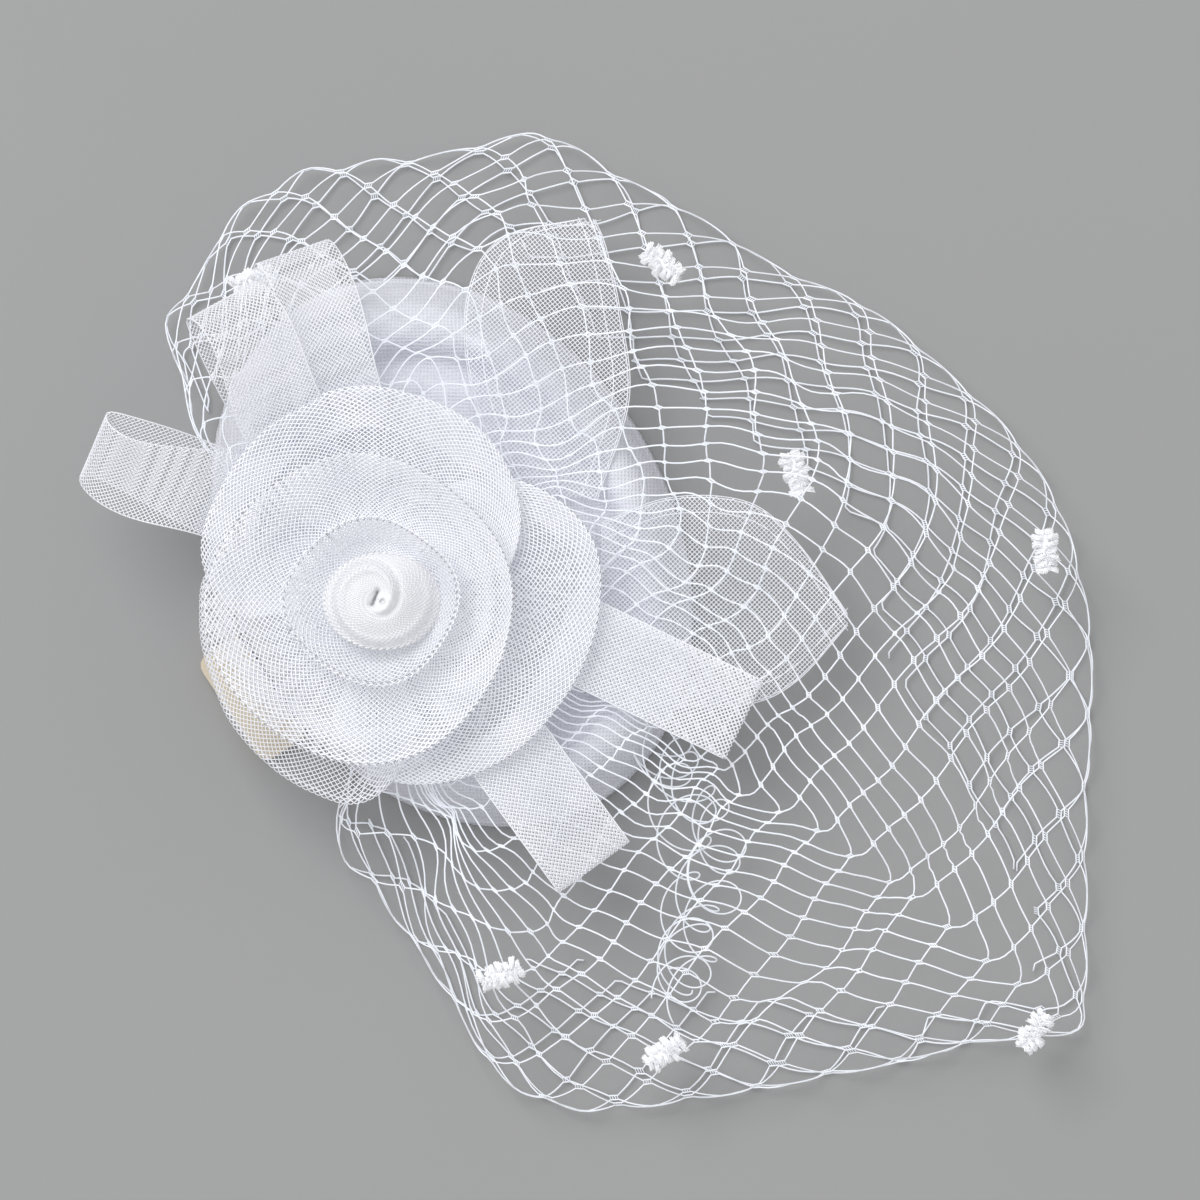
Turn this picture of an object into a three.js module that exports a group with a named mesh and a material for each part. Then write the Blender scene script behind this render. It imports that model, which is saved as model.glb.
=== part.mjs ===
// A bridal veil fascinator that lies flat: an oval base, a wound crin rose, crin loops, crin leaves and a
// puffed net veil with chenille dots. Millimetres, +Z up, the table at z = 0.
import * as THREE from 'three';
import { mergeVertices } from 'three/addons/utils/BufferGeometryUtils.js';

// Driving dimensions: clearances and walls
const clearance = 0.35; // between pieces that lie on each other
const drapeGap = 0.9; // between a ribbon and the net that it drapes over
const crinWall = 1.2; // a doubled layer of crin
const leafWall = 1.2;
const veilWall = 1.1;

// Driving dimensions: base
const baseLength = 146;
const baseWidth = 112;
const baseHeight = 24; // to the top of the raised ring
const baseWall = 2;
const baseTurn = 119.8; // bearing of the long axis, in degrees from +X
const sideLean = 5; // how far the side wall leans in on its way up
const baseFacets = 36;
const ringWidth = 12; // across the raised ring
const topSink = 4.5; // from the top of the ring to the plateau
const grooveDepth = 2; // of the groove between ring and plateau, below the plateau
const grooveWidth = 7;

// Driving dimensions: rose
const roseLeft = 17.6; // from the middle of the base to the middle of the rose
const roseFront = 11.4;
const rootRadius = 12; // of the bunched and stitched ends under the rose
const collarRadius = 3.5; // of the hole that the gathered edges leave in the middle
const budRadius = 13;
const budHeight = 13;
const budCoreRadius = 2.4;
const budTurns = 2.3;
const innerRingReach = 21.5;
const innerRingRise = 8;
const outerRingReach = 38.5;
const outerRingRise = 7;
const petalReach = 52;
const petalRise = 3;
const petalDroop = 13; // how far the lower petal hangs past the base

// Driving dimensions: loops, leaves, clip
const loopWidth = 20; // of the crin ribbon
const loopLength = 46; // from under the rose to the bend
const loopFullness = 12; // height of the open loop
const tailLength = 62;
const tailFullness = 3.5;
const leafLength = 70;
const leafBreadth = 30; // from the leaf's axis to its wider edge
const leafDroop = 6;
const clipLength = 31;
const clipWidth = 12.5;
const clipThick = 3.4;
const clipBearing = 216.5; // where the clip is sewn on, seen from the middle of the base

// Driving dimensions: veil and its dots
const veilReach = 180; // from the middle of the rose to the right-hand fold
const veilRise = 38; // the top of the puffed net above the table
const gatherRadius = 19; // the gathered edge round the root of the rose
const foldHeight = 4; // where the net turns under at its outline
const layFlat = 1.4; // middle of the lower layer above the table
const netColumns = 16; // diamonds along the strip
const netRows = 7; // half-diamonds across it
const strandShare = 0.17; // a strand's width as a share of a diamond's side
const veilWidth = 1.4; // the strip's width as a share of its width from the gathers to the fold
const dotLength = 9;
const dotDiameter = 7;
const dotSides = 8;

// Heights of the layers that lie on each other, worked out from the walls
const plateauTop = baseHeight - topSink;
const leafLevel = baseHeight + clearance + leafWall / 2;
const veilLevel = leafLevel + leafWall / 2 + drapeGap + veilWall / 2;
const ribbonLevel = veilLevel + veilWall / 2 + clearance + crinWall / 2;
const ply = crinWall + clearance;
const rootTop = ribbonLevel + 3.5 * ply;
const petalLevel = rootTop + clearance + crinWall / 2;

const rose = new THREE.Vector2(-roseLeft, -roseFront);

// The veil's outline and fullness, seen from the middle of the rose. bearing: degrees from +X.
// reach: share of veilReach to the fold. rise: share of veilRise at the crest.
// hem: share of the reach where the lower layer ends.
const veilStations = [
  { bearing: -101, reach: 0.36, rise: 0.72, hem: 0.92 },
  { bearing: -87, reach: 0.47, rise: 0.72, hem: 0.86 },
  { bearing: -75, reach: 0.7, rise: 0.72, hem: 0.74 },
  { bearing: -64, reach: 0.8, rise: 0.74, hem: 0.72 },
  { bearing: -48, reach: 0.91, rise: 0.78, hem: 0.84 },
  { bearing: -36, reach: 1.09, rise: 0.82, hem: 0.93 },
  { bearing: -30, reach: 1.13, rise: 0.86, hem: 0.95 },
  { bearing: -16, reach: 1.03, rise: 0.96, hem: 0.79 },
  { bearing: 3, reach: 0.975, rise: 1, hem: 0.7 },
  { bearing: 20, reach: 0.87, rise: 1, hem: 0.7 },
  { bearing: 40, reach: 0.73, rise: 0.92, hem: 0.74 },
  { bearing: 60, reach: 0.68, rise: 0.84, hem: 0.8 },
  { bearing: 71, reach: 0.69, rise: 0.84, hem: 0.82 },
  { bearing: 82, reach: 0.63, rise: 0.76, hem: 0.82 },
  { bearing: 108, reach: 0.59, rise: 0.72, hem: 0.84 },
  { bearing: 131, reach: 0.48, rise: 0.7, hem: 0.9 },
];

// Creases in the top layer of the veil. from and to: places as shares of veilReach from the rose.
// depth: share of veilRise, down is negative. spread: half-width as a share of veilReach.
const veilCreases = [
  { from: [0.97, -0.13], to: [0.33, -0.69], depth: -0.2, spread: 0.07 },
  { from: [0.48, -0.23], to: [0.78, 0], depth: -0.16, spread: 0.06 },
  { from: [0.2, 0.6], to: [0.36, 0.3], depth: 0.1, spread: 0.06 },
  { from: [0.4, 0.47], to: [0.62, 0.2], depth: 0.1, spread: 0.08 },
];

// Rows of a ring or petal. bearing: degrees. reach: share of its own full reach.
// lift: how far its rim rises, as a share of its own rise.
const outerRingRows = [
  { bearing: -180, reach: 1.12, lift: 0.9 },
  { bearing: -110, reach: 1.1, lift: 0.85 },
  { bearing: -40, reach: 0.94, lift: 1 },
  { bearing: 0, reach: 0.86, lift: 1.1 },
  { bearing: 60, reach: 0.86, lift: 1.1 },
  { bearing: 120, reach: 0.98, lift: 1 },
  { bearing: 180, reach: 1.12, lift: 0.9 },
];
const innerRingRows = [
  { bearing: -180, reach: 1.1, lift: 1 },
  { bearing: -90, reach: 1, lift: 0.9 },
  { bearing: 0, reach: 0.92, lift: 1 },
  { bearing: 90, reach: 0.9, lift: 1.1 },
  { bearing: 180, reach: 1.1, lift: 1 },
];
const rightPetalRows = [
  { bearing: -92, reach: 0.84, lift: 0 },
  { bearing: -56, reach: 0.98, lift: 0.9 },
  { bearing: -32, reach: 1.02, lift: 1 },
  { bearing: -2, reach: 1.05, lift: 1 },
  { bearing: 18, reach: 1.04, lift: 0.9 },
  { bearing: 42, reach: 0.88, lift: 0.6 },
];
const topPetalRows = [
  { bearing: 32, reach: 0.78, lift: 0.8 },
  { bearing: 56, reach: 0.94, lift: 1 },
  { bearing: 81, reach: 0.98, lift: 1 },
  { bearing: 102, reach: 1, lift: 1 },
  { bearing: 141, reach: 0.94, lift: 1 },
  { bearing: 168, reach: 0.86, lift: 0.8 },
];
const lowerPetalRows = [
  { bearing: 170, reach: 0.84, lift: 0 },
  { bearing: 187, reach: 0.88, lift: -0.6 },
  { bearing: 222, reach: 0.99, lift: -1 },
  { bearing: 250, reach: 1.02, lift: -0.7 },
  { bearing: 268, reach: 0.99, lift: 0 },
];

// Crin loops and tails. bearing and start: where the ribbon comes out from under the rose, start as a share
// of petalReach. heading: degrees. length and fullness: shares of a loop's or a tail's own. roll: degrees at
// the bend. seat: what it lies on. plies: layers already lying under it. lift: how far its end is held up, as
// a share of loopFullness.
const ribbonRows = [
  { name: 'loop_left', bearing: 150, start: 0.78, heading: 158, kind: 'loop', length: 0.86, fullness: 0.9,
    roll: 38, seat: 'base', plies: 0, lift: 0 },
  { name: 'loop_top', bearing: 96, start: 0.8, heading: 104, kind: 'loop', length: 1.02, fullness: 0.35,
    roll: 8, seat: 'net', plies: 0, lift: 0 },
  { name: 'loop_middle', bearing: 122, start: 0.88, heading: 126, kind: 'loop', length: 0.82, fullness: 0.6,
    roll: -10, seat: 'net', plies: 2, lift: 0.85 },
  { name: 'tail_right', bearing: -10, start: 0.86, heading: -26, kind: 'tail', length: 0.84, fullness: 1,
    roll: 0, seat: 'net', plies: 0, lift: 0 },
  { name: 'tail_front', bearing: -62, start: 0.84, heading: -51, kind: 'tail', length: 0.72, fullness: 1,
    roll: 0, seat: 'net', plies: 0, lift: 0 },
];

// Leaves. root: place from the rose as shares of petalReach. heading: degrees. length: share of leafLength.
// droop: share of leafDroop. Rows of the outline: along is the share from root to tip, left and right are the
// edges on each side of the axis as shares of leafBreadth.
const leafRows = [
  { name: 'leaf_top', root: [0.87, 0.48], heading: 84, length: 1, droop: 1,
    outline: [
      { along: 0, left: 0.45, right: 0.3 },
      { along: 0.37, left: 0.85, right: 0.48 },
      { along: 0.68, left: 0.95, right: 0.33 },
      { along: 0.9, left: 0.72, right: 0.16 },
      { along: 1, left: 0.05, right: 0.04 },
    ] },
  { name: 'leaf_right', root: [1.05, -0.11], heading: 0, length: 0.89, droop: 0.8,
    outline: [
      { along: 0, left: 0.8, right: 0.55 },
      { along: 0.29, left: 1.02, right: 0.7 },
      { along: 0.6, left: 0.98, right: 0.7 },
      { along: 0.8, left: 0.64, right: 0.5 },
      { along: 1, left: 0.05, right: 0.04 },
    ] },
];

// Chenille dots on the veil. bearing: degrees. out: share of the reach there. side: 1 on top, -1 beneath.
const dotRows = [
  { name: 'dot_top_left', bearing: 112, out: 0.84, side: -1 },
  { name: 'dot_top', bearing: 49.5, out: 0.85, side: 1 },
  { name: 'dot_middle', bearing: 16.5, out: 0.67, side: -1 },
  { name: 'dot_right', bearing: 4, out: 0.935, side: 1 },
  { name: 'dot_corner', bearing: -33.5, out: 0.96, side: 1 },
  { name: 'dot_front', bearing: -58, out: 0.88, side: 1 },
  { name: 'dot_front_left', bearing: -72, out: 0.74, side: 1 },
];

// A dot's four tufted ribs. out: share of half its diameter. along: share of its length, from its middle.
const dotRibs = [
  { out: 0, along: -0.5 },
  { out: 0.7, along: -0.5 },
  { out: 1, along: -0.38 },
  { out: 0.8, along: -0.25 },
  { out: 1, along: -0.13 },
  { out: 0.8, along: 0 },
  { out: 1, along: 0.13 },
  { out: 0.8, along: 0.25 },
  { out: 1, along: 0.38 },
  { out: 0.7, along: 0.5 },
  { out: 0, along: 0.5 },
];

const radians = THREE.MathUtils.degToRad;
const smooth = (x) => THREE.MathUtils.smoothstep(x, 0, 1);

function towards(bearing, distance) {
  return new THREE.Vector2(Math.cos(radians(bearing)), Math.sin(radians(bearing))).multiplyScalar(distance);
}

// A column of a table at x, on a smooth curve through its rows (cubic Hermite, slopes from the rows beside).
function along(rows, by, x, column) {
  let k = 0;
  while (k < rows.length - 2 && x > rows[k + 1][by]) k += 1;
  const slope = (i) => {
    const before = rows[Math.max(i - 1, 0)];
    const after = rows[Math.min(i + 1, rows.length - 1)];
    return (after[column] - before[column]) / (after[by] - before[by]);
  };
  const span = rows[k + 1][by] - rows[k][by];
  const s = THREE.MathUtils.clamp((x - rows[k][by]) / span, 0, 1);
  const a = rows[k][column];
  const b = rows[k + 1][column];
  const rise = s * s * (3 - 2 * s);
  return a + (b - a) * rise + span * (slope(k) * s * (1 - s) ** 2 - slope(k + 1) * s * s * (1 - s));
}

function bodyOf(points, triangles) {
  const geometry = new THREE.BufferGeometry();
  geometry.setAttribute('position', new THREE.Float32BufferAttribute(points.flatMap((p) => p.toArray()), 3));
  geometry.setIndex(triangles);
  return geometry;
}

// A wall of even thickness over a grid of points. The grid is moved half a wall each way along its normals, and
// each edge where a cell has no neighbour is closed. ring: the last column meets the first. has: which cells
// are there.
function wallOver(columns, rows, pointAt, thickness, { ring = false, has = () => true } = {}) {
  const wrap = (i) => (ring ? (i + columns) % columns : THREE.MathUtils.clamp(i, 0, columns));
  const middle = new Map();
  const place = (i, j) => {
    const key = `${wrap(i)},${THREE.MathUtils.clamp(j, 0, rows)}`;
    if (!middle.has(key)) middle.set(key, pointAt(wrap(i), THREE.MathUtils.clamp(j, 0, rows)));
    return middle.get(key);
  };
  const normalAt = (i, j) => {
    const across = place(i + 1, j).clone().sub(place(i - 1, j));
    const up = place(i, j + 1).clone().sub(place(i, j - 1));
    return across.cross(up).normalize();
  };
  const inside = (i, j) => j >= 0 && j < rows && (ring || (i >= 0 && i < columns)) && has(wrap(i), j);
  const points = [];
  const numbers = new Map();
  const corner = (i, j, side) => {
    const key = `${wrap(i)},${j},${side}`;
    if (!numbers.has(key)) {
      numbers.set(key, points.length);
      points.push(place(i, j).clone().addScaledVector(normalAt(i, j), (side * thickness) / 2));
    }
    return numbers.get(key);
  };
  const triangles = [];
  const quad = (a, b, c, d) => triangles.push(a, b, c, a, c, d);
  for (let i = 0; i < columns; i += 1) {
    for (let j = 0; j < rows; j += 1) {
      if (!inside(i, j)) continue;
      const upper = [corner(i, j, 1), corner(i + 1, j, 1), corner(i + 1, j + 1, 1), corner(i, j + 1, 1)];
      const lower = [corner(i, j, -1), corner(i + 1, j, -1), corner(i + 1, j + 1, -1), corner(i, j + 1, -1)];
      quad(upper[0], upper[1], upper[2], upper[3]);
      quad(lower[3], lower[2], lower[1], lower[0]);
      const beside = [inside(i, j - 1), inside(i + 1, j), inside(i, j + 1), inside(i - 1, j)];
      for (let k = 0; k < 4; k += 1) {
        const next = (k + 1) % 4;
        if (!beside[k]) quad(lower[k], lower[next], upper[next], upper[k]);
      }
    }
  }
  return bodyOf(points, triangles);
}

// The base is an oval lathe: side wall, raised ring, groove and plateau, with the hollow for the head beneath.
function baseShape() {
  const edge = baseWidth / 2;
  const ringOut = edge - sideLean;
  const ringIn = ringOut - ringWidth;
  const plateau = ringIn - grooveWidth;
  const grooveBank = plateauTop - grooveDepth * 0.4;
  const shoulder = baseHeight * 0.8;
  const waist = baseHeight * 0.4;
  const outside = [
    { radius: 0, height: plateauTop },
    { radius: plateau, height: plateauTop },
    { radius: plateau + grooveWidth / 2, height: plateauTop - grooveDepth },
    { radius: ringIn, height: grooveBank },
    { radius: ringIn + ringWidth * 0.22, height: baseHeight - topSink * 0.2 },
    { radius: ringIn + ringWidth * 0.5, height: baseHeight },
    { radius: ringIn + ringWidth * 0.8, height: baseHeight - topSink * 0.25 },
    { radius: ringOut, height: shoulder },
    { radius: ringOut + sideLean / 2, height: waist },
    { radius: edge, height: 0 },
  ];
  const inside = [
    { radius: edge - baseWall, height: 0 },
    { radius: ringOut + sideLean / 2 - baseWall, height: waist - baseWall * 0.2 },
    { radius: ringOut - baseWall, height: shoulder - baseWall * 0.7 },
    { radius: ringIn + ringWidth * 0.5, height: baseHeight - baseWall },
    { radius: ringIn, height: grooveBank - baseWall },
    { radius: plateau + grooveWidth / 2, height: plateauTop - grooveDepth - baseWall },
    { radius: plateau, height: plateauTop - baseWall * 1.1 },
    { radius: 0, height: plateauTop - baseWall },
  ];
  const profile = [...outside, ...inside].map(({ radius, height }) => new THREE.Vector2(radius, height));
  const lathe = new THREE.LatheGeometry(profile.reverse(), baseFacets);
  lathe.deleteAttribute('normal');
  lathe.deleteAttribute('uv');
  const oval = mergeVertices(lathe, 1e-4);
  oval.rotateX(Math.PI / 2);
  oval.scale(baseLength / baseWidth, 1, 1);
  oval.rotateZ(radians(baseTurn));
  return oval;
}

// Height of the middle of the veil's top layer, at a bearing and a share t of the way out to the fold. The net
// leaves the base at a third of the way and is fully puffed at two thirds.
function veilHeight(bearing, t, x, y) {
  const crest = Math.max(along(veilStations, 'bearing', bearing, 'rise') * veilRise, veilLevel);
  const open = veilLevel + (crest - veilLevel) * smooth(3 * t - 1);
  let crease = 0;
  for (const { from, to, depth, spread } of veilCreases) {
    const a = new THREE.Vector2(...from).multiplyScalar(veilReach);
    const b = new THREE.Vector2(...to).multiplyScalar(veilReach);
    const p = new THREE.Vector2(x - rose.x, y - rose.y);
    const line = b.clone().sub(a);
    const s = THREE.MathUtils.clamp(p.clone().sub(a).dot(line) / line.lengthSq(), 0, 1);
    const away = p.distanceTo(a.addScaledVector(line, s)) / (spread * veilReach);
    crease += depth * veilRise * Math.exp(-away * away);
  }
  const fall = Math.sqrt(Math.max(0, 1 - t ** 6));
  return foldHeight + (open - foldHeight + crease * smooth(3 * t - 1)) * fall;
}

// A point of the veil. v runs 0 to 1 out to the fold on top, and past 1 back in along the table.
function veilPoint(bearing, v) {
  const reach = along(veilStations, 'bearing', bearing, 'reach') * veilReach;
  const hem = along(veilStations, 'bearing', bearing, 'hem');
  const turned = Math.max(0, v - 1) / (veilWidth - 1);
  const inner = gatherRadius / reach;
  const out = v < 0 ? v : v ** 0.8;
  const t = v <= 1 ? inner + (1 - inner) * out : 1 - (1 - hem) * turned;
  const spot = towards(bearing, reach * t).add(rose);
  const under = layFlat + (foldHeight - layFlat) * (1 - smooth(turned * 3));
  return new THREE.Vector3(spot.x, spot.y, v <= 1 ? veilHeight(bearing, t, spot.x, spot.y) : under);
}

// Where the top layer of the net lies under a place, for what is draped over it.
function netBelow(x, y) {
  const place = new THREE.Vector2(x, y).sub(rose);
  const bearing = THREE.MathUtils.radToDeg(Math.atan2(place.y, place.x));
  const first = veilStations[0].bearing;
  const last = veilStations[veilStations.length - 1].bearing;
  if (bearing < first || bearing > last) return 0;
  const t = place.length() / (along(veilStations, 'bearing', bearing, 'reach') * veilReach);
  return t < 1 ? veilHeight(bearing, t, x, y) : 0;
}

// The veil is a strip of diamond net. Its grid runs along the strands. A pitch of the grid is one strand
// and two steps of opening, and only the cells that frame a diamond are there.
function veilShape() {
  const steps = [0, strandShare, (1 + strandShare) / 2];
  const count = steps.length;
  const lineAt = (k) => Math.floor(k / count) + steps[k % count] - strandShare / 2;
  const first = veilStations[0].bearing;
  const last = veilStations[veilStations.length - 1].bearing;
  const cells = new Set();
  for (let row = 0; row < netRows; row += 1) {
    for (let column = 0; column < netColumns - (row % 2); column += 1) {
      const p = column + Math.ceil(row / 2);
      const q = p - row - 1 + netRows;
      for (let i = 0; i <= count; i += 1) {
        for (let j = 0; j <= count; j += 1) {
          const onFrame = i % count === 0 || j % count === 0;
          if (onFrame) cells.add(`${p * count + i},${q * count + j}`);
        }
      }
    }
  }
  const pointAt = (i, j) => {
    const a = lineAt(i);
    const b = lineAt(j) - netRows;
    const share = ((a + b) / 2 + 0.5) / netColumns;
    return veilPoint(first + (last - first) * share, ((a - b) / (netRows + 1)) * veilWidth);
  };
  const size = (netColumns + netRows + 1) * count;
  return wallOver(size, size, pointAt, veilWall, { has: (i, j) => cells.has(`${i},${j}`) });
}

// A gathered round of crin: from the collar it lies flat, then rises or hangs to its rim.
function crinRound(rows, reach, rise, level, flat, columns) {
  const from = rows[0].bearing;
  const turn = rows[rows.length - 1].bearing - from;
  const across = 5;
  const pointAt = (i, j) => {
    const bearing = from + (turn * i) / columns;
    const rim = along(rows, 'bearing', bearing, 'reach') * reach;
    const radius = rim + (collarRadius - rim) * (j / across);
    const climb = Math.max(0, (radius - flat) / (rim - flat)) ** 1.5;
    const spot = towards(bearing, radius).add(rose);
    return new THREE.Vector3(spot.x, spot.y, level + along(rows, 'bearing', bearing, 'lift') * rise * climb);
  };
  return wallOver(columns, across, pointAt, crinWall, { ring: turn === 360 });
}

// The bud is a band of crin rolled into a spiral, open a little at the top.
function budShape(level) {
  const columns = 36;
  const rows = 3;
  const pointAt = (i, j) => {
    const share = i / columns;
    const up = j / rows;
    const radius = budCoreRadius + (budRadius - crinWall - budCoreRadius) * share;
    const spot = towards(share * budTurns * 360, radius * (0.9 + 0.1 * Math.sin(up * Math.PI))).add(rose);
    return new THREE.Vector3(spot.x, spot.y, level + up * budHeight * (1 - 0.3 * share));
  };
  return wallOver(columns, rows, pointAt, crinWall);
}

// A ribbon that runs out from under the rose, bends round and comes back above itself.
function ribbonShape(row) {
  const isLoop = row.kind === 'loop';
  const length = row.length * (isLoop ? loopLength : tailLength);
  const full = row.fullness * (isLoop ? loopFullness : tailFullness);
  const start = towards(row.bearing, row.start * petalReach).add(rose);
  const ahead = towards(row.heading, 1);
  const side = towards(row.heading + 90, 1);
  const columns = 16;
  const rows = 3;
  const pointAt = (i, j) => {
    const way = (2 * i) / columns;
    const out = (length / 2) * (1 - Math.cos(Math.PI * way));
    const back = way - 1;
    const open = back < 0 ? 0.35 * full * way ** 4
      : full * (0.35 * (1 - back) + 0.85 * Math.sin(Math.PI * back)) + ply * back;
    const roll = radians(row.roll) * smooth(out / length);
    const across = loopWidth * (j / rows - 0.5);
    const spot = start.clone().addScaledVector(ahead, out)
      .addScaledVector(side, across * Math.cos(roll) + open * Math.sin(roll));
    const overNet = Math.max(ribbonLevel, netBelow(spot.x, spot.y) + veilWall / 2 + drapeGap + crinWall / 2);
    const seat = row.seat === 'net' ? overNet : baseHeight + clearance + crinWall / 2;
    const rest = seat + row.plies * ply + row.lift * loopFullness * smooth(out / length);
    const up = open * Math.cos(roll) - across * Math.sin(roll) + (loopWidth / 2) * Math.abs(Math.sin(roll));
    return new THREE.Vector3(spot.x, spot.y, rest + up);
  };
  return wallOver(columns, rows, pointAt, crinWall);
}

// A leaf is crin folded to a point; it lies on the base's ring and hangs a little past it.
function leafShape(row) {
  const columns = 10;
  const rows = 6;
  const root = new THREE.Vector2(...row.root).multiplyScalar(petalReach).add(rose);
  const ahead = towards(row.heading, 1);
  const side = towards(row.heading + 90, 1);
  const pointAt = (i, j) => {
    const share = i / columns;
    const right = along(row.outline, 'along', share, 'right');
    const left = along(row.outline, 'along', share, 'left');
    const across = -right + (left + right) * (j / rows);
    const spot = root.clone().addScaledVector(ahead, share * row.length * leafLength)
      .addScaledVector(side, across * leafBreadth);
    const hang = row.droop * leafDroop * smooth((share - 0.6) / 0.4) * (1 + 0.4 * Math.abs(across));
    return new THREE.Vector3(spot.x, spot.y, leafLevel - hang);
  };
  return wallOver(columns, rows, pointAt, leafWall);
}

// A chenille dot: a short twist of tufted pile.
function dotShape() {
  const profile = dotRibs.map(({ out, along: l }) => new THREE.Vector2((out * dotDiameter) / 2, l * dotLength));
  return new THREE.LatheGeometry(profile, dotSides);
}

// Middle of a dot: off the veil on its own side, along the normal there. The normal comes from two
// steps on the veil, one outwards and one round.
function dotPlace(row) {
  const reach = along(veilStations, 'bearing', row.bearing, 'reach') * veilReach;
  const on = (bearing, out) => {
    const spot = towards(bearing, reach * out).add(rose);
    return new THREE.Vector3(spot.x, spot.y, veilHeight(bearing, out, spot.x, spot.y));
  };
  const here = on(row.bearing, row.out);
  const stepOut = 0.02;
  const stepRound = 1;
  const outward = on(row.bearing, row.out + stepOut).sub(here);
  const round = on(row.bearing + stepRound, row.out).sub(here);
  const normal = outward.clone().cross(round).normalize();
  here.addScaledVector(normal, row.side * (veilWall / 2 + drapeGap + dotDiameter / 2));
  return { here, axis: round.normalize() };
}

// The clip is a covered bar sewn on flat against the base's rim.
function clipMesh(material) {
  const corner = clipWidth * 0.3;
  const x = clipLength / 2;
  const y = clipWidth / 2;
  const outline = new THREE.Shape();
  outline.moveTo(-x + corner, -y);
  outline.lineTo(x - corner, -y);
  outline.quadraticCurveTo(x, -y, x, -y + corner);
  outline.lineTo(x, y);
  outline.lineTo(-x, y);
  outline.lineTo(-x, -y + corner);
  outline.quadraticCurveTo(-x, -y, -x + corner, -y);
  const bar = new THREE.ExtrudeGeometry(outline, { depth: clipThick, bevelEnabled: false, curveSegments: 4 });
  const mesh = new THREE.Mesh(bar, material);
  const a = baseLength / 2;
  const b = baseWidth / 2;
  const turn = radians(clipBearing - baseTurn);
  const rim = (a * b) / Math.hypot(b * Math.cos(turn), a * Math.sin(turn));
  const normal = new THREE.Vector2(Math.cos(turn) / (a * a), Math.sin(turn) / (b * b)).normalize()
    .rotateAround(new THREE.Vector2(), radians(baseTurn));
  const place = towards(clipBearing, rim).addScaledVector(normal, clearance + clipWidth / 2);
  mesh.position.set(place.x, place.y, 0);
  mesh.rotation.z = Math.atan2(normal.y, normal.x) + Math.PI / 2;
  return mesh;
}

const satin = () => new THREE.MeshStandardMaterial({ color: 0xc9bca7, roughness: 0.55, metalness: 0 });
const linen = () => new THREE.MeshStandardMaterial({ color: 0xe4e4ea, roughness: 0.8, metalness: 0 });
const crin = () => new THREE.MeshStandardMaterial({ color: 0xe6e8f2, roughness: 0.35, metalness: 0 });
const net = () => new THREE.MeshStandardMaterial({ color: 0xf0f1f6, roughness: 0.5, metalness: 0 });
const pile = () => new THREE.MeshStandardMaterial({ color: 0xf2f2f4, roughness: 0.95, metalness: 0 });

const group = new THREE.Group();
function add(name, geometry, material) {
  const mesh = new THREE.Mesh(geometry, material);
  mesh.name = name;
  group.add(mesh);
  return mesh;
}

add('base_cap', baseShape(), linen());
const clip = clipMesh(satin());
clip.name = 'hair_clip';
group.add(clip);
for (const row of leafRows) add(row.name, leafShape(row), crin());
add('veil', veilShape(), net());
for (const row of dotRows) {
  const dot = add(row.name, dotShape(), pile());
  const { here, axis } = dotPlace(row);
  dot.position.copy(here);
  dot.quaternion.setFromUnitVectors(new THREE.Vector3(0, 1, 0), axis);
}
for (const row of ribbonRows) add(row.name, ribbonShape(row), crin());

const rootHeight = rootTop - plateauTop - clearance;
const root = add('rose_root', new THREE.CylinderGeometry(rootRadius, rootRadius, rootHeight, 24), crin());
root.rotation.x = Math.PI / 2;
root.position.set(rose.x, rose.y, rootTop - rootHeight / 2);
// The rounds lie on each other in this order. flat: the radius where a round leaves the one below it.
const rounds = [
  { name: 'petal_right', rows: rightPetalRows, reach: petalReach, rise: petalRise, flat: rootRadius,
    columns: 14 },
  { name: 'petal_lower', rows: lowerPetalRows, reach: petalReach, rise: petalDroop, flat: rootRadius,
    columns: 12 },
  { name: 'petal_top', rows: topPetalRows, reach: petalReach, rise: petalRise, flat: innerRingReach,
    columns: 14 },
  { name: 'ring_outer', rows: outerRingRows, reach: outerRingReach, rise: outerRingRise, flat: innerRingReach,
    columns: 28 },
  { name: 'ring_inner', rows: innerRingRows, reach: innerRingReach, rise: innerRingRise, flat: budRadius,
    columns: 22 },
];
rounds.forEach(({ name, rows, reach, rise, flat, columns }, k) => {
  add(name, crinRound(rows, reach, rise, petalLevel + k * ply, flat, columns), crin());
});
const budLevel = petalLevel + (rounds.length - 1) * ply + crinWall / 2 + clearance;
add('rose_bud', budShape(budLevel), crin());

// The part's own frame: the middle of its box, on the table.
const box = new THREE.Box3().setFromObject(group);
const middle = box.getCenter(new THREE.Vector3());
group.position.set(-middle.x, -middle.y, 0);

export default group;
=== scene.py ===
import math

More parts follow.
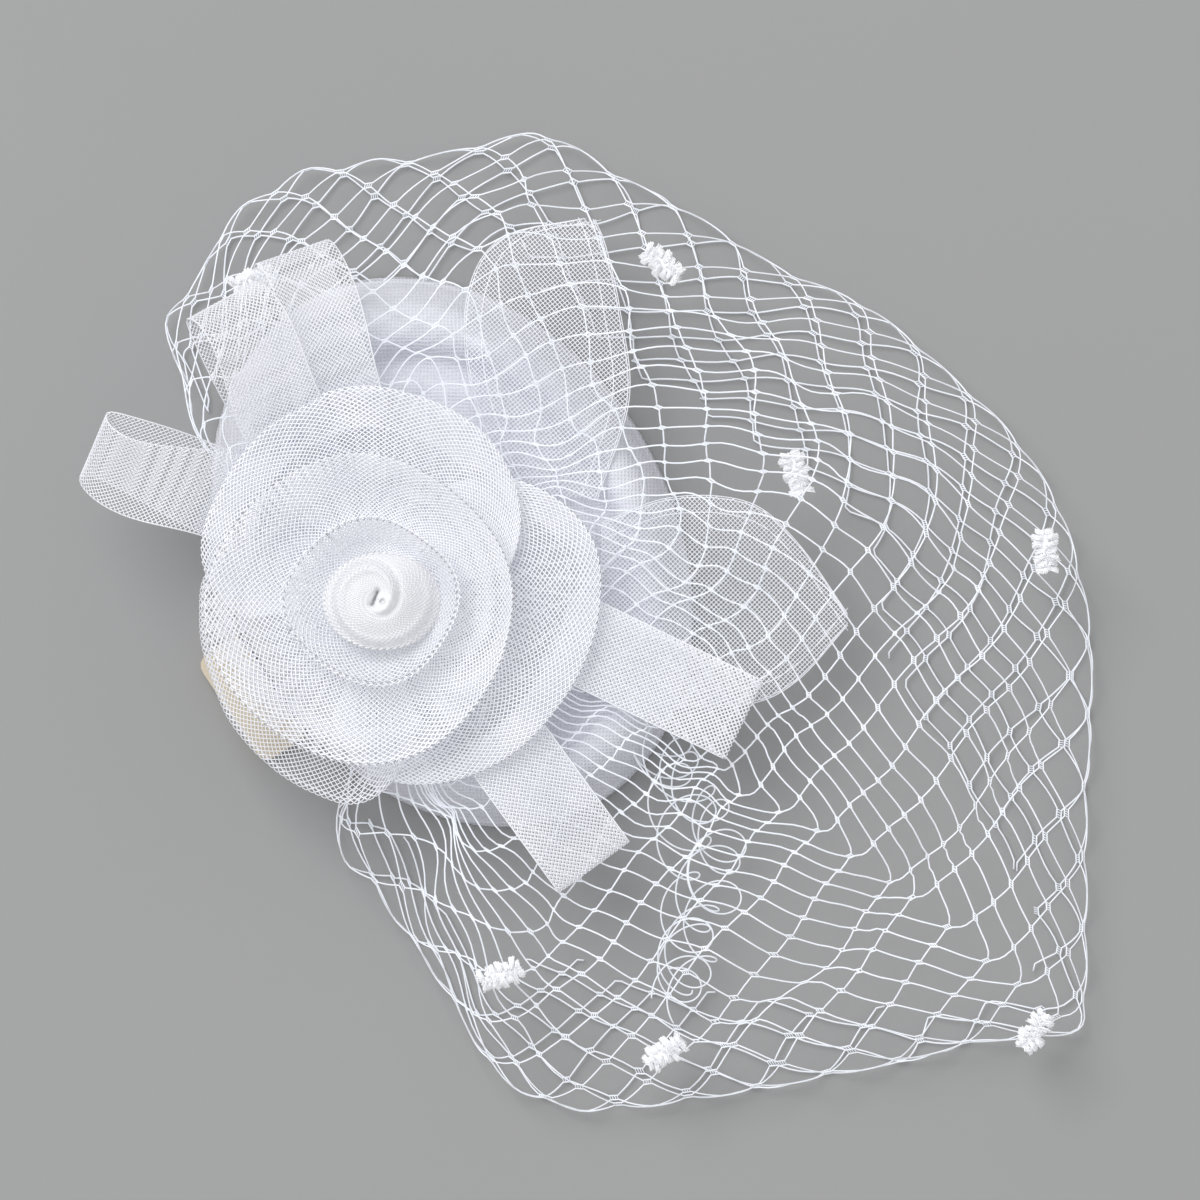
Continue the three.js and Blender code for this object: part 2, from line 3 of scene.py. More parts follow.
import bpy
import numpy as np
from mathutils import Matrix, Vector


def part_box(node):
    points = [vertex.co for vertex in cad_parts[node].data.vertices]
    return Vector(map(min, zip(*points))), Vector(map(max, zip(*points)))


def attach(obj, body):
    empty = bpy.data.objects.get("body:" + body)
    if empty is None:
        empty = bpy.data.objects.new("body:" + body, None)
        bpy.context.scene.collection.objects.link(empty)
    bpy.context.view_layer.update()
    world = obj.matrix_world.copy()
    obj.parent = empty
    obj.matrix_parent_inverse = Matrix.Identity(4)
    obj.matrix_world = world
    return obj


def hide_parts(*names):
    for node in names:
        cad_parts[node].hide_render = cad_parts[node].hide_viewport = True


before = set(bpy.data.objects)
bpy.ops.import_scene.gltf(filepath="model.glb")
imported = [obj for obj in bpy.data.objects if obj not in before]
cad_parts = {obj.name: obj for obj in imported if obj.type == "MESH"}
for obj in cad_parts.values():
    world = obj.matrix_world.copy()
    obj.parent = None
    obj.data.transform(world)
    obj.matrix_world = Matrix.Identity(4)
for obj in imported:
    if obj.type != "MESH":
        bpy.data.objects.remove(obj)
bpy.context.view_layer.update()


# The table and the light.
# A plain pale grey table top, lit by one wide soft lamp from the upper left and by an even sky.
TABLE_SIDE = 3.0
TABLE_GREYS = ((0.316, 0.316, 0.316, 1), (0.330, 0.330, 0.330, 1))
SKY_COLOUR = (0.985, 0.99, 1.0, 1)
SKY_STRENGTH = 0.72
LAMP_PLACE = (-1.5, 1.9, 3.4)
LAMP_SIDE = 2.4
LAMP_POWER = 104.0


def mesh_piece(name, points, faces, material, smooth=True):
    """A mesh object at the origin, from its points and from faces given as arrays of corner numbers."""
    mesh = bpy.data.meshes.new(name)
    corners = np.concatenate([f.ravel() for f in faces]).astype(np.int32)
    counts = np.concatenate([np.full(len(f), f.shape[1]) for f in faces])
    used, corners = np.unique(corners, return_inverse=True)
    mesh.vertices.add(len(used))
    mesh.vertices.foreach_set("co", points[used].astype(np.float32).ravel())
    mesh.loops.add(len(corners))
    mesh.loops.foreach_set("vertex_index", corners.astype(np.int32))
    mesh.polygons.add(len(counts))
    mesh.polygons.foreach_set("loop_start", np.concatenate([[0], np.cumsum(counts)[:-1]]).astype(np.int32))
    mesh.polygons.foreach_set("use_smooth", np.full(len(counts), smooth))
    mesh.update(calc_edges=True)
    mesh.materials.append(material)
    piece = bpy.data.objects.new(name, mesh)
    bpy.context.scene.collection.objects.link(piece)
    return piece


def add_node(tree, kind, place, **inputs):
    """A shader node of that kind, with its named sockets set to values or linked to other nodes' sockets."""
    node = tree.nodes.new(kind)
    node.location = place
    for name, value in inputs.items():
        socket = node.inputs[name.replace("_", " ")]
        if isinstance(value, bpy.types.NodeSocket):
            tree.links.new(value, socket)
        else:
            socket.default_value = value
    return node


def mottle_group():
    """Soft unevenness for every finish: noise of a given scale blends two colours and two roughnesses."""
    tree = bpy.data.node_groups.new("Mottle", "ShaderNodeTree")
    for name, kind, default in (
        ("Scale", "NodeSocketFloat", 100.0),
        ("Low Colour", "NodeSocketColor", (0.8, 0.8, 0.8, 1)),
        ("High Colour", "NodeSocketColor", (0.9, 0.9, 0.9, 1)),
        ("Low Roughness", "NodeSocketFloat", 0.4),
        ("High Roughness", "NodeSocketFloat", 0.6),
    ):
        tree.interface.new_socket(name, in_out="INPUT", socket_type=kind).default_value = default
    tree.interface.new_socket("Colour", in_out="OUTPUT", socket_type="NodeSocketColor")
    tree.interface.new_socket("Roughness", in_out="OUTPUT", socket_type="NodeSocketFloat")
    given = tree.nodes.new("NodeGroupInput")
    out = tree.nodes.new("NodeGroupOutput")
    out.location = (800, 0)
    place = tree.nodes.new("ShaderNodeTexCoord")
    noise = add_node(tree, "ShaderNodeTexNoise", (200, 0), Vector=place.outputs["Object"],
                     Scale=given.outputs["Scale"], Detail=3.0)
    spread = add_node(tree, "ShaderNodeMapRange", (400, 0), Value=noise.outputs["Fac"],
                      From_Min=0.3, From_Max=0.7)
    blend = tree.nodes.new("ShaderNodeMix")
    blend.data_type = "RGBA"
    blend.location = (600, 100)
    tree.links.new(spread.outputs["Result"], blend.inputs["Factor"])
    tree.links.new(given.outputs["Low Colour"], blend.inputs[6])
    tree.links.new(given.outputs["High Colour"], blend.inputs[7])
    rough = add_node(tree, "ShaderNodeMapRange", (600, -150), Value=spread.outputs["Result"],
                     To_Min=given.outputs["Low Roughness"], To_Max=given.outputs["High Roughness"])
    tree.links.new(blend.outputs[2], out.inputs["Colour"])
    tree.links.new(rough.outputs["Result"], out.inputs["Roughness"])
    return tree


mottle = mottle_group()


def finish_of(name, colours, scale, roughness):
    """A material whose colour and roughness come from the Mottle group; gives it and its Principled node."""
    material = bpy.data.materials.new(name)
    material.use_nodes = True
    tree = material.node_tree
    shader = tree.nodes["Principled BSDF"]
    uneven = tree.nodes.new("ShaderNodeGroup")
    uneven.node_tree = mottle
    uneven.location = (-500, 200)
    for socket, value in (
        ("Scale", scale),
        ("Low Colour", colours[0]),
        ("High Colour", colours[1]),
        ("Low Roughness", roughness[0]),
        ("High Roughness", roughness[1]),
    ):
        uneven.inputs[socket].default_value = value
    tree.links.new(uneven.outputs["Colour"], shader.inputs["Base Color"])
    tree.links.new(uneven.outputs["Roughness"], shader.inputs["Roughness"])
    return material, shader


table_finish, table_shader = finish_of("table_top", TABLE_GREYS, scale=3.0, roughness=(0.75, 0.85))
table_shader.inputs["Specular IOR Level"].default_value = 0.2
half = TABLE_SIDE / 2
table_corners = np.array([[-half, -half, 0], [half, -half, 0], [half, half, 0], [-half, half, 0]])
table = mesh_piece("table_top", table_corners, [np.array([[0, 1, 2, 3]])], table_finish, smooth=False)

scene = bpy.context.scene
scene.view_settings.view_transform = "Standard"
sky = bpy.data.worlds.new("soft_sky")
sky.use_nodes = True
sky.node_tree.nodes["Background"].inputs["Color"].default_value = SKY_COLOUR
sky.node_tree.nodes["Background"].inputs["Strength"].default_value = SKY_STRENGTH
scene.world = sky
lamp_light = bpy.data.lights.new("soft_lamp", "AREA")
lamp_light.size = LAMP_SIDE
lamp_light.energy = LAMP_POWER
lamp = bpy.data.objects.new("soft_lamp", lamp_light)
lamp.location = LAMP_PLACE
lamp.rotation_euler = (-lamp.location).to_track_quat("-Z", "Y").to_euler()
scene.collection.objects.link(lamp)


# The camera.
# It looks straight down, with the whole 300 mm of the picture in view at the height of the veil. Places in
# millimetres are measured from the middle of the base, on the table.
MM = 0.001
VIEW_WIDTH = 0.300
VIEW_CENTRE = (37.35, -12.1)
CAMERA_HEIGHT = 2.5
VEIL_MID_HEIGHT = 0.02
SENSOR = 36.0
base_low, base_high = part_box("base_cap")
base_middle = (base_low + base_high) / 2


def in_frame(x, y, z):
    """Points of the frame, in metres: the middle of the base plus millimetres, up from the table."""
    return np.stack(np.broadcast_arrays(base_middle.x + x * MM, base_middle.y + y * MM, z * MM), axis=-1)


camera_data = bpy.data.cameras.new("camera")
camera_data.sensor_width = SENSOR
camera_data.lens = SENSOR * (CAMERA_HEIGHT - VEIL_MID_HEIGHT) / VIEW_WIDTH
camera = bpy.data.objects.new("camera", camera_data)
camera.location = in_frame(*VIEW_CENTRE, CAMERA_HEIGHT / MM)
scene.collection.objects.link(camera)
scene.camera = camera


# The base.
# An oval cap of stiffened linen over a wire rim: a leaning side, a raised ring, a groove and a flat top, and
# hollow beneath for the head. It is pressed over a block in one piece.
BASE_LENGTH = 146.0
BASE_WIDTH = 112.0
BASE_TURN = math.radians(119.8)
BASE_STEPS_ROUND = 200
BASE_STEPS_OUT = 90
LINEN = ((0.68, 0.69, 0.75, 1), (0.81, 0.815, 0.87, 1))
WEAVE_WAVER = 1.2
WEAVE_WAVER_SCALE = 160.0
# Radius along the short half-axis and height, from the middle of the top over the rim to the middle beneath.
BASE_PROFILE = (
    (0, 19.4), (18, 19.6), (30, 19.4), (33, 20.0), (34.6, 20.1), (36, 18.7), (37.6, 17.7), (39.2, 18.5),
    (40.6, 21.0), (42.4, 23.3), (45, 24), (47.6, 23.4), (49.7, 21.6), (51, 19), (52.4, 14.5), (53.8, 9),
    (55, 2.6), (56, 1.6), (56, 0.4), (55, 0), (54, 0.6), (52.6, 5), (51.2, 11), (49.6, 16.5), (47.8, 19.6),
    (45, 22), (42.4, 20.6), (40, 17.4), (37.6, 15.8), (34, 17.6), (30, 17.4), (0, 17.4),
)


def smooth_line(points, count):
    """A Catmull-Rom curve through the points, sampled at even steps along its length."""
    p = np.array(points, float)
    ends = np.concatenate([[2 * p[0] - p[1]], p, [2 * p[-1] - p[-2]]])
    t = np.linspace(0, len(p) - 1, 24 * len(p))
    k = np.minimum(t.astype(int), len(p) - 2)
    u = (t - k)[:, None]
    a, b, c, d = ends[k], ends[k + 1], ends[k + 2], ends[k + 3]
    fine = 0.5 * (2 * b + (c - a) * u + (2 * a - 5 * b + 4 * c - d) * u ** 2
                  + (3 * b - a - 3 * c + d) * u ** 3)
    length = np.concatenate([[0], np.cumsum(np.linalg.norm(np.diff(fine, axis=0), axis=1))])
    at = np.linspace(0, length[-1], count)
    return np.stack([np.interp(at, length, fine[:, i]) for i in range(p.shape[1])], axis=1)


def capped_rings(rings, top, bottom):
    """Points and faces of a closed shape: rings from its top down, with a fan to a point at each end."""
    levels, around = rings.shape[:2]
    number = np.arange(levels * around).reshape(levels, around)
    after = np.roll(number, -1, axis=1)
    quads = np.stack([number[:-1], number[1:], after[1:], after[:-1]], axis=-1).reshape(-1, 4)
    over = np.stack([np.full(around, number.size), number[0], after[0]], axis=-1)
    under = np.stack([np.full(around, number.size + 1), after[-1], number[-1]], axis=-1)
    return np.concatenate([rings.reshape(-1, 3), top, bottom]), [quads, over, under]


def oval_lathe(profile, steps_round, stretch, turn):
    """Points and faces of a profile spun round: x and y are the radius times cosine and sine of the way
    round, x stretched, then both turned. The first and last points are single ones on the axis."""
    way = np.linspace(0, 2 * math.pi, steps_round, endpoint=False)
    r = profile[1:-1, 0, None]
    x, y = r * np.cos(way) * stretch, r * np.sin(way)
    z = np.broadcast_to(profile[1:-1, 1, None], x.shape)
    turned_x = x * math.cos(turn) - y * math.sin(turn)
    turned_y = x * math.sin(turn) + y * math.cos(turn)
    rings = np.stack([turned_x, turned_y, z], axis=-1)
    return capped_rings(rings, [[0, 0, profile[0, 1]]], [[0, 0, profile[-1, 1]]])


def math_node(tree, operation, *values):
    """The output of a Math node whose inputs are numbers or other nodes' sockets."""
    node = tree.nodes.new("ShaderNodeMath")
    node.operation = operation
    for socket, value in zip(node.inputs, values):
        if isinstance(value, bpy.types.NodeSocket):
            tree.links.new(value, socket)
        else:
            socket.default_value = value
    return node.outputs[0]



def weave_group():
    """Plain weave: two families of ridges, each the sine of its own direction, where the higher one shows."""
    tree = bpy.data.node_groups.new("Plain Weave", "ShaderNodeTree")
    tree.interface.new_socket("Pitch", in_out="INPUT", socket_type="NodeSocketFloat").default_value = 0.001
    tree.interface.new_socket("Height", in_out="OUTPUT", socket_type="NodeSocketFloat")
    given = tree.nodes.new("NodeGroupInput")
    out = tree.nodes.new("NodeGroupOutput")
    place = tree.nodes.new("ShaderNodeTexCoord")
    waver = add_node(tree, "ShaderNodeTexNoise", (0, -300), Vector=place.outputs["Object"],
                     Scale=WEAVE_WAVER_SCALE)
    apart = add_node(tree, "ShaderNodeSeparateXYZ", (0, 0), Vector=place.outputs["Object"])
    ridges = []
    for axis in ("X", "Y"):
        count = math_node(tree, "DIVIDE", apart.outputs[axis], given.outputs["Pitch"])
        bent = math_node(tree, "MULTIPLY_ADD", waver.outputs["Fac"], WEAVE_WAVER, count)
        sine = math_node(tree, "SINE", math_node(tree, "MULTIPLY", bent, math.pi))
        ridges.append(math_node(tree, "ABSOLUTE", sine))
    tree.links.new(math_node(tree, "MAXIMUM", *ridges), out.inputs["Height"])
    return tree


plain_weave = weave_group()


def weave_bump(material, shader, pitch, strength, distance):
    """Runs the Plain Weave group's height through a Bump node into the shader's normal."""
    tree = material.node_tree
    weave = tree.nodes.new("ShaderNodeGroup")
    weave.node_tree = plain_weave
    weave.inputs["Pitch"].default_value = pitch
    weave.location = (-500, -250)
    bump = add_node(tree, "ShaderNodeBump", (-200, -250), Height=weave.outputs["Height"], Strength=strength,
                    Distance=distance)
    tree.links.new(bump.outputs["Normal"], shader.inputs["Normal"])


linen, linen_shader = finish_of("base_linen", LINEN, scale=45.0, roughness=(0.8, 0.95))
weave_bump(linen, linen_shader, pitch=0.0009, strength=0.7, distance=0.0004)
linen_shader.inputs["Sheen Weight"].default_value = 0.2
base_points, base_faces = oval_lathe(smooth_line(BASE_PROFILE, BASE_STEPS_OUT), BASE_STEPS_ROUND,
                                     BASE_LENGTH / BASE_WIDTH, BASE_TURN)
base = mesh_piece("base_cover", in_frame(*base_points.T), base_faces, linen)
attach(base, "root")
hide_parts("base_cap")


# The clip.
# A hair clip covered in beige satin, sewn flat against the rim. Its solid keeps its own shape.
SATIN = ((0.53, 0.45, 0.33, 1), (0.68, 0.60, 0.47, 1))
satin, satin_shader = finish_of("clip_satin", SATIN, scale=60.0, roughness=(0.4, 0.6))
weave_bump(satin, satin_shader, pitch=0.0005, strength=0.35, distance=0.0002)
satin_shader.inputs["Sheen Weight"].default_value = 0.4
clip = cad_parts["hair_clip"]
clip.data.materials.clear()
clip.data.materials.append(satin)


# The leaves.
# Crin is a braid of clear nylon threads that cross on the slant. Each leaf is a piece of it folded to a
# point, so its edges are denser. It lies on the ring of the base and hangs a little past it.
ROSE = np.array([-17.6, -11.4])
CRIN = ((0.85, 0.86, 0.91, 1), (0.93, 0.935, 0.97, 1))
# Painted light: a faint even bluish-white emission on every crin thread, which lightens the braid's shade.
CRIN_PAINTED_LIGHT = ((0.93, 0.95, 1.0, 1), 0.12)
CRIN_THREAD = 0.145
THREAD_SIDES = 3
THREAD_RISE = 0.55
RIM_THREAD = 1.2
RIM_STEP = 1.6
LEAF_CELL = 1.2
LEAF_LEVEL = 25.0
LEAF_BREADTH = 30.0
LEAF_REACH = 1.15 * LEAF_BREADTH
LEAF_HANG = 6.0
LEAF_HEMS = (0, 0.5, 4.2)
# Root from the middle of the rose, heading, length, droop; then share of the length, left edge, right edge.
LEAVES = {
    "leaf_top": {"root": (45.2, 25.0), "heading": 84, "length": 70.0, "droop": 1.0,
                 "outline": ((0, 0.45, 0.3), (0.37, 0.85, 0.48), (0.68, 0.95, 0.33), (0.9, 0.72, 0.16),
                             (1, 0.05, 0.04))},
    "leaf_right": {"root": (54.6, -5.7), "heading": 0, "length": 62.3, "droop": 0.8,
                   "outline": ((0, 0.8, 0.55), (0.29, 1.02, 0.7), (0.6, 0.98, 0.7), (0.8, 0.64, 0.5),
                               (1, 0.05, 0.04))},
}


def smooth_step(x):
    """Nought below 0, one above 1, and three squares less two cubes between."""
    x = np.clip(x, 0, 1)
    return x * x * (3 - 2 * x)


def column(rows, x, number):
    """A column of a table at x, on a smooth curve through its rows."""
    line = smooth_line([(row[0], row[number]) for row in rows], 160)
    return np.interp(x, line[:, 0], line[:, 1])


def normals_of(surface, a, b, step=0.05):
    """Unit normals of a surface, from the cross product of two short steps along it."""
    over = np.cross(surface(a + step, b) - surface(a - step, b), surface(a, b + step) - surface(a, b - step))
    return over / np.maximum(np.linalg.norm(over, axis=-1, keepdims=True), 1e-12)


def tubes(lines, up, radius, sides, there):
    """Points and faces of round threads along lines of shape (threads, steps, 3): at each step a ring of
    points at radius times cosine along the normal and sine sideways. Each run of steps that are there is
    capped."""
    ahead = np.gradient(lines, axis=1)
    ahead /= np.maximum(np.linalg.norm(ahead, axis=-1, keepdims=True), 1e-12)
    side = np.cross(ahead, up)
    side /= np.maximum(np.linalg.norm(side, axis=-1, keepdims=True), 1e-12)
    high = np.cross(side, ahead)
    way = np.arange(sides) * 2 * math.pi / sides
    thick = np.broadcast_to(np.asarray(radius, float), lines.shape[:2])[:, :, None, None]
    ring = np.cos(way)[:, None] * high[:, :, None] - np.sin(way)[:, None] * side[:, :, None]
    rings = lines[:, :, None] + thick * ring
    number = np.arange(lines.shape[0] * lines.shape[1] * sides).reshape(*lines.shape[:2], sides)
    number = number[..., ::-1]
    joined = there[:, :-1] & there[:, 1:]
    here, onward = number[:, :-1][joined], number[:, 1:][joined]
    quads = np.stack([here, np.roll(here, -1, 1), np.roll(onward, -1, 1), onward], axis=-1).reshape(-1, 4)
    edge = np.zeros((len(there), 1), bool)
    before, after = np.concatenate([edge, joined], 1), np.concatenate([joined, edge], 1)
    first, last = number[after & ~before], number[before & ~after]
    return rings.reshape(-1, 3), [quads, first[:, ::-1], last]


def rim_steps(length):
    """Places along an edge thread of that length."""
    return np.linspace(0, length, max(8, round(length / RIM_STEP)))


def crin_sets(surface, length, width, cell, inside=None, rims=(), closed=False, thread=CRIN_THREAD, lean=1.0):
    """Braided crin over surface(along, across), in millimetres, as sets of points and faces. Thread k of each
    family starts k cells along and runs on the slant, half a cell along for lean halves of a cell across,
    over and under at each crossing. inside says where there is cloth, a thread runs along each of the rims,
    which are places across, and a closed braid meets itself."""
    steps = max(2, round(width / (cell * lean / 2)))
    across = np.linspace(0, width, steps + 1)
    shift = np.arange(steps + 1) * cell / 2
    count = round(length / cell)
    spacing = length / count
    first = 0 if closed else -math.ceil(shift[-1] / cell) - 1
    last = count if closed else count + math.ceil(shift[-1] / cell) + 1
    starts = np.arange(first, last)[:, None] * spacing
    flip = np.where(np.arange(steps + 1) % 2, 1.0, -1.0)
    sets = []
    for slant in (1, -1):
        along = starts + slant * shift
        b = np.broadcast_to(across, along.shape)
        normal = normals_of(surface, along, b)
        line = surface(along, b) + normal * (slant * flip * thread * THREAD_RISE * MM)[None, :, None]
        there = np.ones(along.shape, bool) if closed else (along > -0.01) & (along < length + 0.01)
        if inside is not None:
            there &= inside(along, b)
        sets.append(tubes(line, normal, thread * MM, THREAD_SIDES, there))
    rows = rim_steps(length)
    for rim in rims:
        b = np.broadcast_to(np.asarray(rim, float), (1, len(rows)))
        a = np.broadcast_to(rows, b.shape)
        normal = normals_of(surface, a, b)
        rim_tubes = tubes(surface(a, b), normal, thread * RIM_THREAD * MM, THREAD_SIDES,
                          np.ones(a.shape, bool))
        sets.append(rim_tubes)
    return sets


def joined_mesh(name, sets, material):
    """One mesh object out of several sets of points and faces."""
    offsets = np.cumsum([0] + [len(points) for points, _ in sets])
    faces = [f + offset for (_, group), offset in zip(sets, offsets) for f in group if len(f)]
    return mesh_piece(name, np.concatenate([points for points, _ in sets]), faces, material)


def paint_light(shader, colour, strength):
    """Painted light: an even emission of a colour and strength on the shader, so that the threads glow as if
    lit through.
    """
    shader.inputs["Emission Color"].default_value = colour
    shader.inputs["Emission Strength"].default_value = strength


crin, crin_shader = finish_of("crin", CRIN, scale=70.0, roughness=(0.25, 0.4))
crin_shader.inputs["Specular IOR Level"].default_value = 0.6
paint_light(crin_shader, *CRIN_PAINTED_LIGHT)
for leaf_name, leaf in LEAVES.items():
    heading = math.radians(leaf["heading"])

    def leaf_surface(a, b, leaf=leaf, heading=heading):
        """The leaf's plane from its root along its heading: a smooth step of the share along it hangs its
        tip, and a cosine across it crowns it along its axis."""
        share = a / leaf["length"]
        side = b - LEAF_REACH
        droop = leaf["droop"] * LEAF_HANG * smooth_step((share - 0.6) / 0.4)
        hang = droop * (1 + 0.4 * abs(side) / LEAF_BREADTH)
        crown = 0.8 * np.cos(side / LEAF_BREADTH * 4.2) + 0.35 * np.sin(a / 7.0 + side / 5.0)
        x = ROSE[0] + leaf["root"][0] + a * math.cos(heading) - side * math.sin(heading)
        y = ROSE[1] + leaf["root"][1] + a * math.sin(heading) + side * math.cos(heading)
        return in_frame(x, y, LEAF_LEVEL - hang + crown * smooth_step(share * 3))

    def in_leaf(a, b, leaf=leaf):
        """True between the leaf's right and left edges."""
        share = a / leaf["length"]
        side = (b - LEAF_REACH) / LEAF_BREADTH
        return (side < column(leaf["outline"], share, 1)) & (side > -column(leaf["outline"], share, 2))

    rows = rim_steps(leaf["length"]) / leaf["length"]
    left = LEAF_REACH + column(leaf["outline"], rows, 1) * LEAF_BREADTH
    right = LEAF_REACH - column(leaf["outline"], rows, 2) * LEAF_BREADTH
    edges = [edge for inset in LEAF_HEMS for edge in (left - inset, right + inset)]
    braid = crin_sets(leaf_surface, leaf["length"], 2 * LEAF_REACH, LEAF_CELL, inside=in_leaf, rims=edges)
    piece = joined_mesh(leaf_name + "_crin", braid, crin)
    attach(piece, "root")
    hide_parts(leaf_name)


# The veil.
# One strip of diamond veiling, gathered round the root of the rose, puffed up and folded under all round its
# outline. Its strands zigzag along the strip and are joined, not crossed, by little ladder knots.
VEIL_OUTLINE = (
    (-66, 42), (-71.9, 55.4), (-69, 64), (-62, 72.5), (-57, 83), (-49, 89.5),
    (-37.7, 96), (-22, 98.5), (-2.7, 100.4), (14, 104.4), (22.4, 105.4), (30, 102.5),
    (44, 94), (62.4, 84.1), (82.4, 71.6), (102.4, 62.9), (115, 54), (127.4, 42.9),
    (138, 33), (146.1, 22.9), (153, 11), (157.4, -2.1), (160.4, -17), (161.1, -32.1),
    (160.6, -47), (159.9, -62.1), (159.9, -95), (159.6, -114), (158.4, -119.5), (152.4, -121.8),
    (132.4, -123.6), (110, -129), (87.4, -133.4), (62, -137.8), (39.9, -140.6), (28, -140),
    (17.4, -135.9), (9, -128.5), (2.4, -117.1), (-5, -105.5), (-12.7, -94.6), (-20, -85),
    (-27, -77.5), (-29, -70), (-26, -62),
)
GATHER_BEARINGS = (131.0, -101.0)
GATHER_RADIUS = 14.0
DIAMOND_LONG = 18.0
DIAMOND_SHORT = 10.2
STRAND = 0.215
STRAND_SIDES = 4
KNOT_GAP = 0.95
KNOT_HALF = 1.1
KNOT_BARS = (-0.9, -0.3, 0.3, 0.9)
BAR = 0.16
OUTER_STRANDS = 10
INNER_STRANDS = 40
NORMAL_STEP = 0.4
VEIL_TOP = 38.0
OVER_BASE = 26.9
FOLD_HEIGHT = 4.0
TABLE_LAYER = 0.9
# How steep the cloth stands at the fold, how far in that is felt, and how wide its strands bunch there.
STEEP = 0.3
STEEP_DEPTH = 18.0
BUNCH_WIDTH = 9.0
FOLD_EASE = 6.0
# How far the net leans sideways, wanders on the plan, ripples in height and is crumpled near the gather.
SKEW = 7.0
DRIFT = 2.6
RIPPLE = 1.6
CRUMPLE = 2.4
# Crest of the puff as a share of VEIL_TOP, by bearing from the rose.
PUFF = (
    (-101, 0.72), (-64, 0.74), (-48, 0.78), (-30, 0.84), (-16, 0.94), (3, 1), (20, 1), (40, 0.92), (71, 0.84),
    (82, 0.76), (108, 0.72), (131, 0.7),
)
# How far the lower layer reaches back in, by bearing from the rose.
HEM = (
    (-101, 12), (-87, 20), (-75, 34), (-64, 40), (-52, 30), (-40, 17), (-31, 10), (-24, 17), (-16, 38),
    (-6, 50), (20, 52), (40, 44), (60, 34), (71, 30), (90, 34), (115, 30), (131, 14),
)
# How tightly the fold is pulled, by bearing from the rose: 0 leaves the strands their zigzag.
TIGHT = (
    (-101, 0.4), (-72, 0.6), (-60, 0.86), (-30, 0.88), (0, 0.9), (40, 0.88), (75, 0.8), (95, 0.5), (131, 0.4),
)
# Creases: the line they follow, how strongly strands draw in to it, how wide, and how far they rise or sink.
CREASES = (
    {"line": ((161, -32), (97.9, -99.4), (40, -139.6)),
     "draw": 0.72, "wide": 10.0, "rise": -5.5, "spread": 13.0},
    {"line": ((67.4, -51.4), (93.9, -34.4), (126, -6)),
     "draw": 0.5, "wide": 8.0, "rise": -6.0, "spread": 11.0},
    {"line": ((22.4, 105.4), (18, 88), (13.6, 70)),
     "draw": 0.6, "wide": 7.0, "rise": 3.5, "spread": 10.0},
    {"line": ((47.4, 62.9), (72, 55), (87.4, 37.9), (94.9, 17.9)),
     "draw": 0.45, "wide": 9.0, "rise": 4.0, "spread": 14.0},
    {"line": ((2, -66), (-4, -84), (-8, -98)),
     "draw": 0.5, "wide": 6.0, "rise": 2.0, "spread": 7.0},
    {"line": ((22, -70), (24, -96), (20, -126)),
     "draw": 0.45, "wide": 7.0, "rise": -3.0, "spread": 8.0},
)
# The cut selvedge of the strip, drawn up under the net so that its strands curl.
CURL_LINE = ((50, -47), (58, -58), (62, -74), (62, -90), (57, -112))
CURL_STRANDS = 4
CURL_STEPS = 260
CURL_TURNS = 4.5
CURL_RADIUS = 7.2
CURL_SPREAD = 4.0
CURL_HEIGHT = 10.0
CURL_BOUNCE = 3.0
NET = ((0.78, 0.81, 0.87, 1), (0.88, 0.905, 0.955, 1))
# Painted light: a faint even emission on the net strands, which lightens them where they are shaded.
NET_PAINTED_LIGHT = ((0.95, 0.97, 1.0, 1), 0.13)

outline = smooth_line(VEIL_OUTLINE, 900)
outline_at = np.concatenate([[0], np.cumsum(np.linalg.norm(np.diff(outline, axis=0), axis=1))])
VEIL_ROUND = outline_at[-1]


def wander(x, y, wave, phase):
    """A smooth uneven value between about -1 and 1: three sines of the place, of related wavelengths."""
    return (np.sin(x / wave + 1.7 * phase) * np.cos(y / (1.3 * wave) - phase)
            + 0.6 * np.sin((x + y) / (0.61 * wave) + 2.3 * phase)
            + 0.4 * np.cos((x - 1.4 * y) / (0.43 * wave) - 1.1 * phase)) / 1.6


def crease_shift(x, y):
    """How far a place is drawn in towards the creases, and how far it rises: a bell curve of its distance
    from the nearest point of each crease's line."""
    dx, dy, dz = np.zeros_like(x), np.zeros_like(x), np.zeros_like(x)
    for crease in CREASES:
        line = smooth_line(crease["line"], 160)
        away = np.stack([line[:, 0] - x[..., None], line[:, 1] - y[..., None]], axis=-1)
        far = np.linalg.norm(away, axis=-1)
        k = far.argmin(-1)[..., None]
        near = np.take_along_axis(far, k, -1)[..., 0]
        to = np.take_along_axis(away, k[..., None], -2)[..., 0, :]
        pull = crease["draw"] * np.exp(-((near / crease["wide"]) ** 2))
        dx, dy = dx + to[..., 0] * pull, dy + to[..., 1] * pull
        dz = dz + crease["rise"] * np.exp(-((near / crease["spread"]) ** 2))
    return dx, dy, dz


def veil_way(a):
    """The fold and the gather at a place along the strip: two points on the plan, and the fold's bearing."""
    a = np.clip(a, 0, VEIL_ROUND)
    fold = np.stack([np.interp(a, outline_at, outline[:, axis]) for axis in (0, 1)], axis=-1)
    bearing = np.degrees(np.arctan2(fold[..., 1] - ROSE[1], fold[..., 0] - ROSE[0]))
    even = GATHER_BEARINGS[0] + (GATHER_BEARINGS[1] - GATHER_BEARINGS[0]) * a / VEIL_ROUND
    way = np.radians(0.55 * even + 0.45 * bearing)
    gather = ROSE + GATHER_RADIUS * np.stack([np.cos(way), np.sin(way)], axis=-1)
    return fold, gather, bearing


